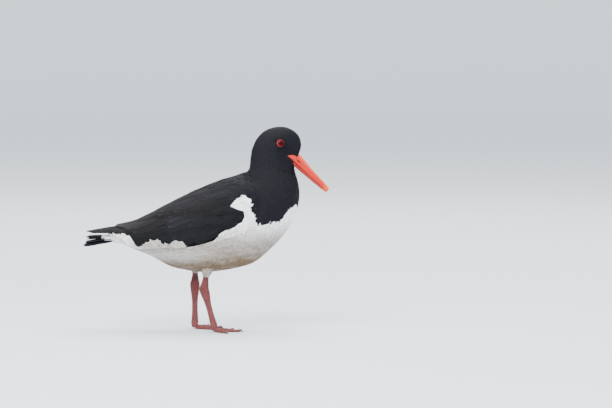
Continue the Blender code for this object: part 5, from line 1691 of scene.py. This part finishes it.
class OYSTER_PG_colours(bpy.types.PropertyGroup):
    """Colours of plumage, bill, eyes and legs."""

    black: tint("Black plumage", "Head, breast, mantle and wings", (0.0052, 0.0056, 0.0082))
    brown: tint("Brown plumage", "Worn scapulars and tertials", (0.0135, 0.0118, 0.0124))
    fringe: tint("Worn fringe", "Pale rims of worn feathers", (0.040, 0.035, 0.034))
    white: tint("White plumage", "Belly, rump and shoulder patch", (0.93, 0.925, 0.91))
    # Colour of the underside's painted shade and of its faint streaks.
    stain: tint("Belly stain", "Dusky buff of the underside", (0.15, 0.104, 0.062))
    bill: tint("Bill", "Orange-red horn of the bill", (0.54, 0.018, 0.006))
    # Colour of the painted highlight along the bill's ridge.
    bill_ridge: tint("Bill ridge", "Salmon ridge of the bill", (0.74, 0.062, 0.022))
    bill_tip: tint("Bill tip", "Orange-yellow tip of the bill", (0.70, 0.085, 0.002))
    iris: tint("Iris", "Red of the iris", (0.17, 0.002, 0.004))
    eye_ring: tint("Lid ring", "Bare ring round the eye", (0.25, 0.009, 0.013))
    legs: tint("Legs", "Dull pink of legs and feet", (0.152, 0.039, 0.037))
    ankles: tint("Ankles", "Redder skin of the ankle joints", (0.145, 0.025, 0.025))
    claws: tint("Claws", "Dark horn of the claws", (0.05, 0.04, 0.036))


class OYSTER_PG_sizes(bpy.types.PropertyGroup):
    """Sizes of the body's feathers."""

    coat_spacing: amount(
        "Feather spacing", "Spacing of the body's feathers, over the usual one", 1.0, 0.7,
        max=2.0, subtype="FACTOR")
    coat_length: amount(
        "Feather length", "Length of the body's feathers, over the usual one", 1.0, 0.6,
        max=1.5, subtype="FACTOR")


class OYSTER_PG_studio(bpy.types.PropertyGroup):
    """Floor, lights and camera."""

    floor: tint("Floor", "Colour of floor and backdrop", (0.68, 0.71, 0.76))
    sky: tint("Sky", "Colour of the light from all round", (0.86, 0.92, 1.0))
    sky_strength: amount(
        "Sky strength", "Strength of the light from all round", 1.2, max=5.0, subtype="FACTOR")
    key_power: amount("Key light", "Power of the key light", 135.0, unit="POWER")
    top_power: amount("Top light", "Power of the top light", 115.0, unit="POWER")
    fill_power: amount("Fill light", "Power of the fill light", 24.0, unit="POWER")
    camera_distance: amount("Camera distance", "From the bird to the camera", 5.0, 1.0, unit="LENGTH")
    camera_elevation: amount(
        "Camera elevation", "Angle above the horizon", float(np.radians(4.0)), subtype="ANGLE")


class OYSTER_OT_body(bpy.types.Operator):
    """Make the skin and the coat of feathers over body, neck, head and thighs"""

    bl_idname = "oyster.body"
    bl_label = "Skin and body feathers"

    def execute(self, context):
        build_skin()
        build_body_coat()
        build_thigh_coat()
        return {"FINISHED"}


class OYSTER_OT_wings(bpy.types.Operator):
    """Make both folded wings, feather by feather"""

    bl_idname = "oyster.wings"
    bl_label = "Wings"

    def execute(self, context):
        build_wings()
        return {"FINISHED"}


class OYSTER_OT_tail(bpy.types.Operator):
    """Make the tail with the white feathers at its base"""

    bl_idname = "oyster.tail"
    bl_label = "Tail"

    def execute(self, context):
        build_tail()
        return {"FINISHED"}


class OYSTER_OT_bill(bpy.types.Operator):
    """Make both halves of the bill"""

    bl_idname = "oyster.bill"
    bl_label = "Bill"

    def execute(self, context):
        build_bill()
        return {"FINISHED"}


class OYSTER_OT_eyes(bpy.types.Operator):
    """Make the eyes and their bare lid rings"""

    bl_idname = "oyster.eyes"
    bl_label = "Eyes"

    def execute(self, context):
        build_eyes()
        return {"FINISHED"}


class OYSTER_OT_legs(bpy.types.Operator):
    """Make the bare legs, feet and claws"""

    bl_idname = "oyster.legs"
    bl_label = "Legs and feet"

    def execute(self, context):
        build_legs()
        return {"FINISHED"}


class OYSTER_OT_stage(bpy.types.Operator):
    """Make the floor, backdrop, lights and camera"""

    bl_idname = "oyster.stage"
    bl_label = "Studio"

    def execute(self, context):
        build_stage()
        return {"FINISHED"}


class OYSTER_PT_panel(bpy.types.Panel):
    """Sizes, colours and steps of the oystercatcher"""

    bl_label = "Oystercatcher"
    bl_idname = "OYSTER_PT_panel"
    bl_space_type = "VIEW_3D"
    bl_region_type = "UI"
    bl_category = "Oystercatcher"

    def draw(self, context):
        for group in (getattr(context.scene, name) for name in GROUPS):
            box = self.layout.box()
            for name in group.__annotations__:
                box.prop(group, name)
        for step in STEPS:
            self.layout.operator(step.bl_idname)


GROUPS = {
    "oyster_sizes": OYSTER_PG_sizes,
    "oyster_colours": OYSTER_PG_colours,
    "oyster_studio": OYSTER_PG_studio,
}
STEPS = (OYSTER_OT_body, OYSTER_OT_wings, OYSTER_OT_tail, OYSTER_OT_bill, OYSTER_OT_eyes, OYSTER_OT_legs,
         OYSTER_OT_stage)


def register():
    """Registers the classes and hangs the settings on the scene."""
    for made in (*GROUPS.values(), *STEPS, OYSTER_PT_panel):
        bpy.utils.register_class(made)
    for name, group in GROUPS.items():
        setattr(bpy.types.Scene, name, bpy.props.PointerProperty(type=group))


def unregister():
    """Takes the settings off the scene and unregisters the classes."""
    for name in GROUPS:
        delattr(bpy.types.Scene, name)
    for made in (OYSTER_PT_panel, *STEPS, *GROUPS.values()):
        bpy.utils.unregister_class(made)


def main():
    register()
    bpy.ops.oyster.body()
    bpy.ops.oyster.wings()
    bpy.ops.oyster.tail()
    bpy.ops.oyster.bill()
    bpy.ops.oyster.eyes()
    bpy.ops.oyster.legs()
    bpy.ops.oyster.stage()


if __name__ == "__main__":
    main()
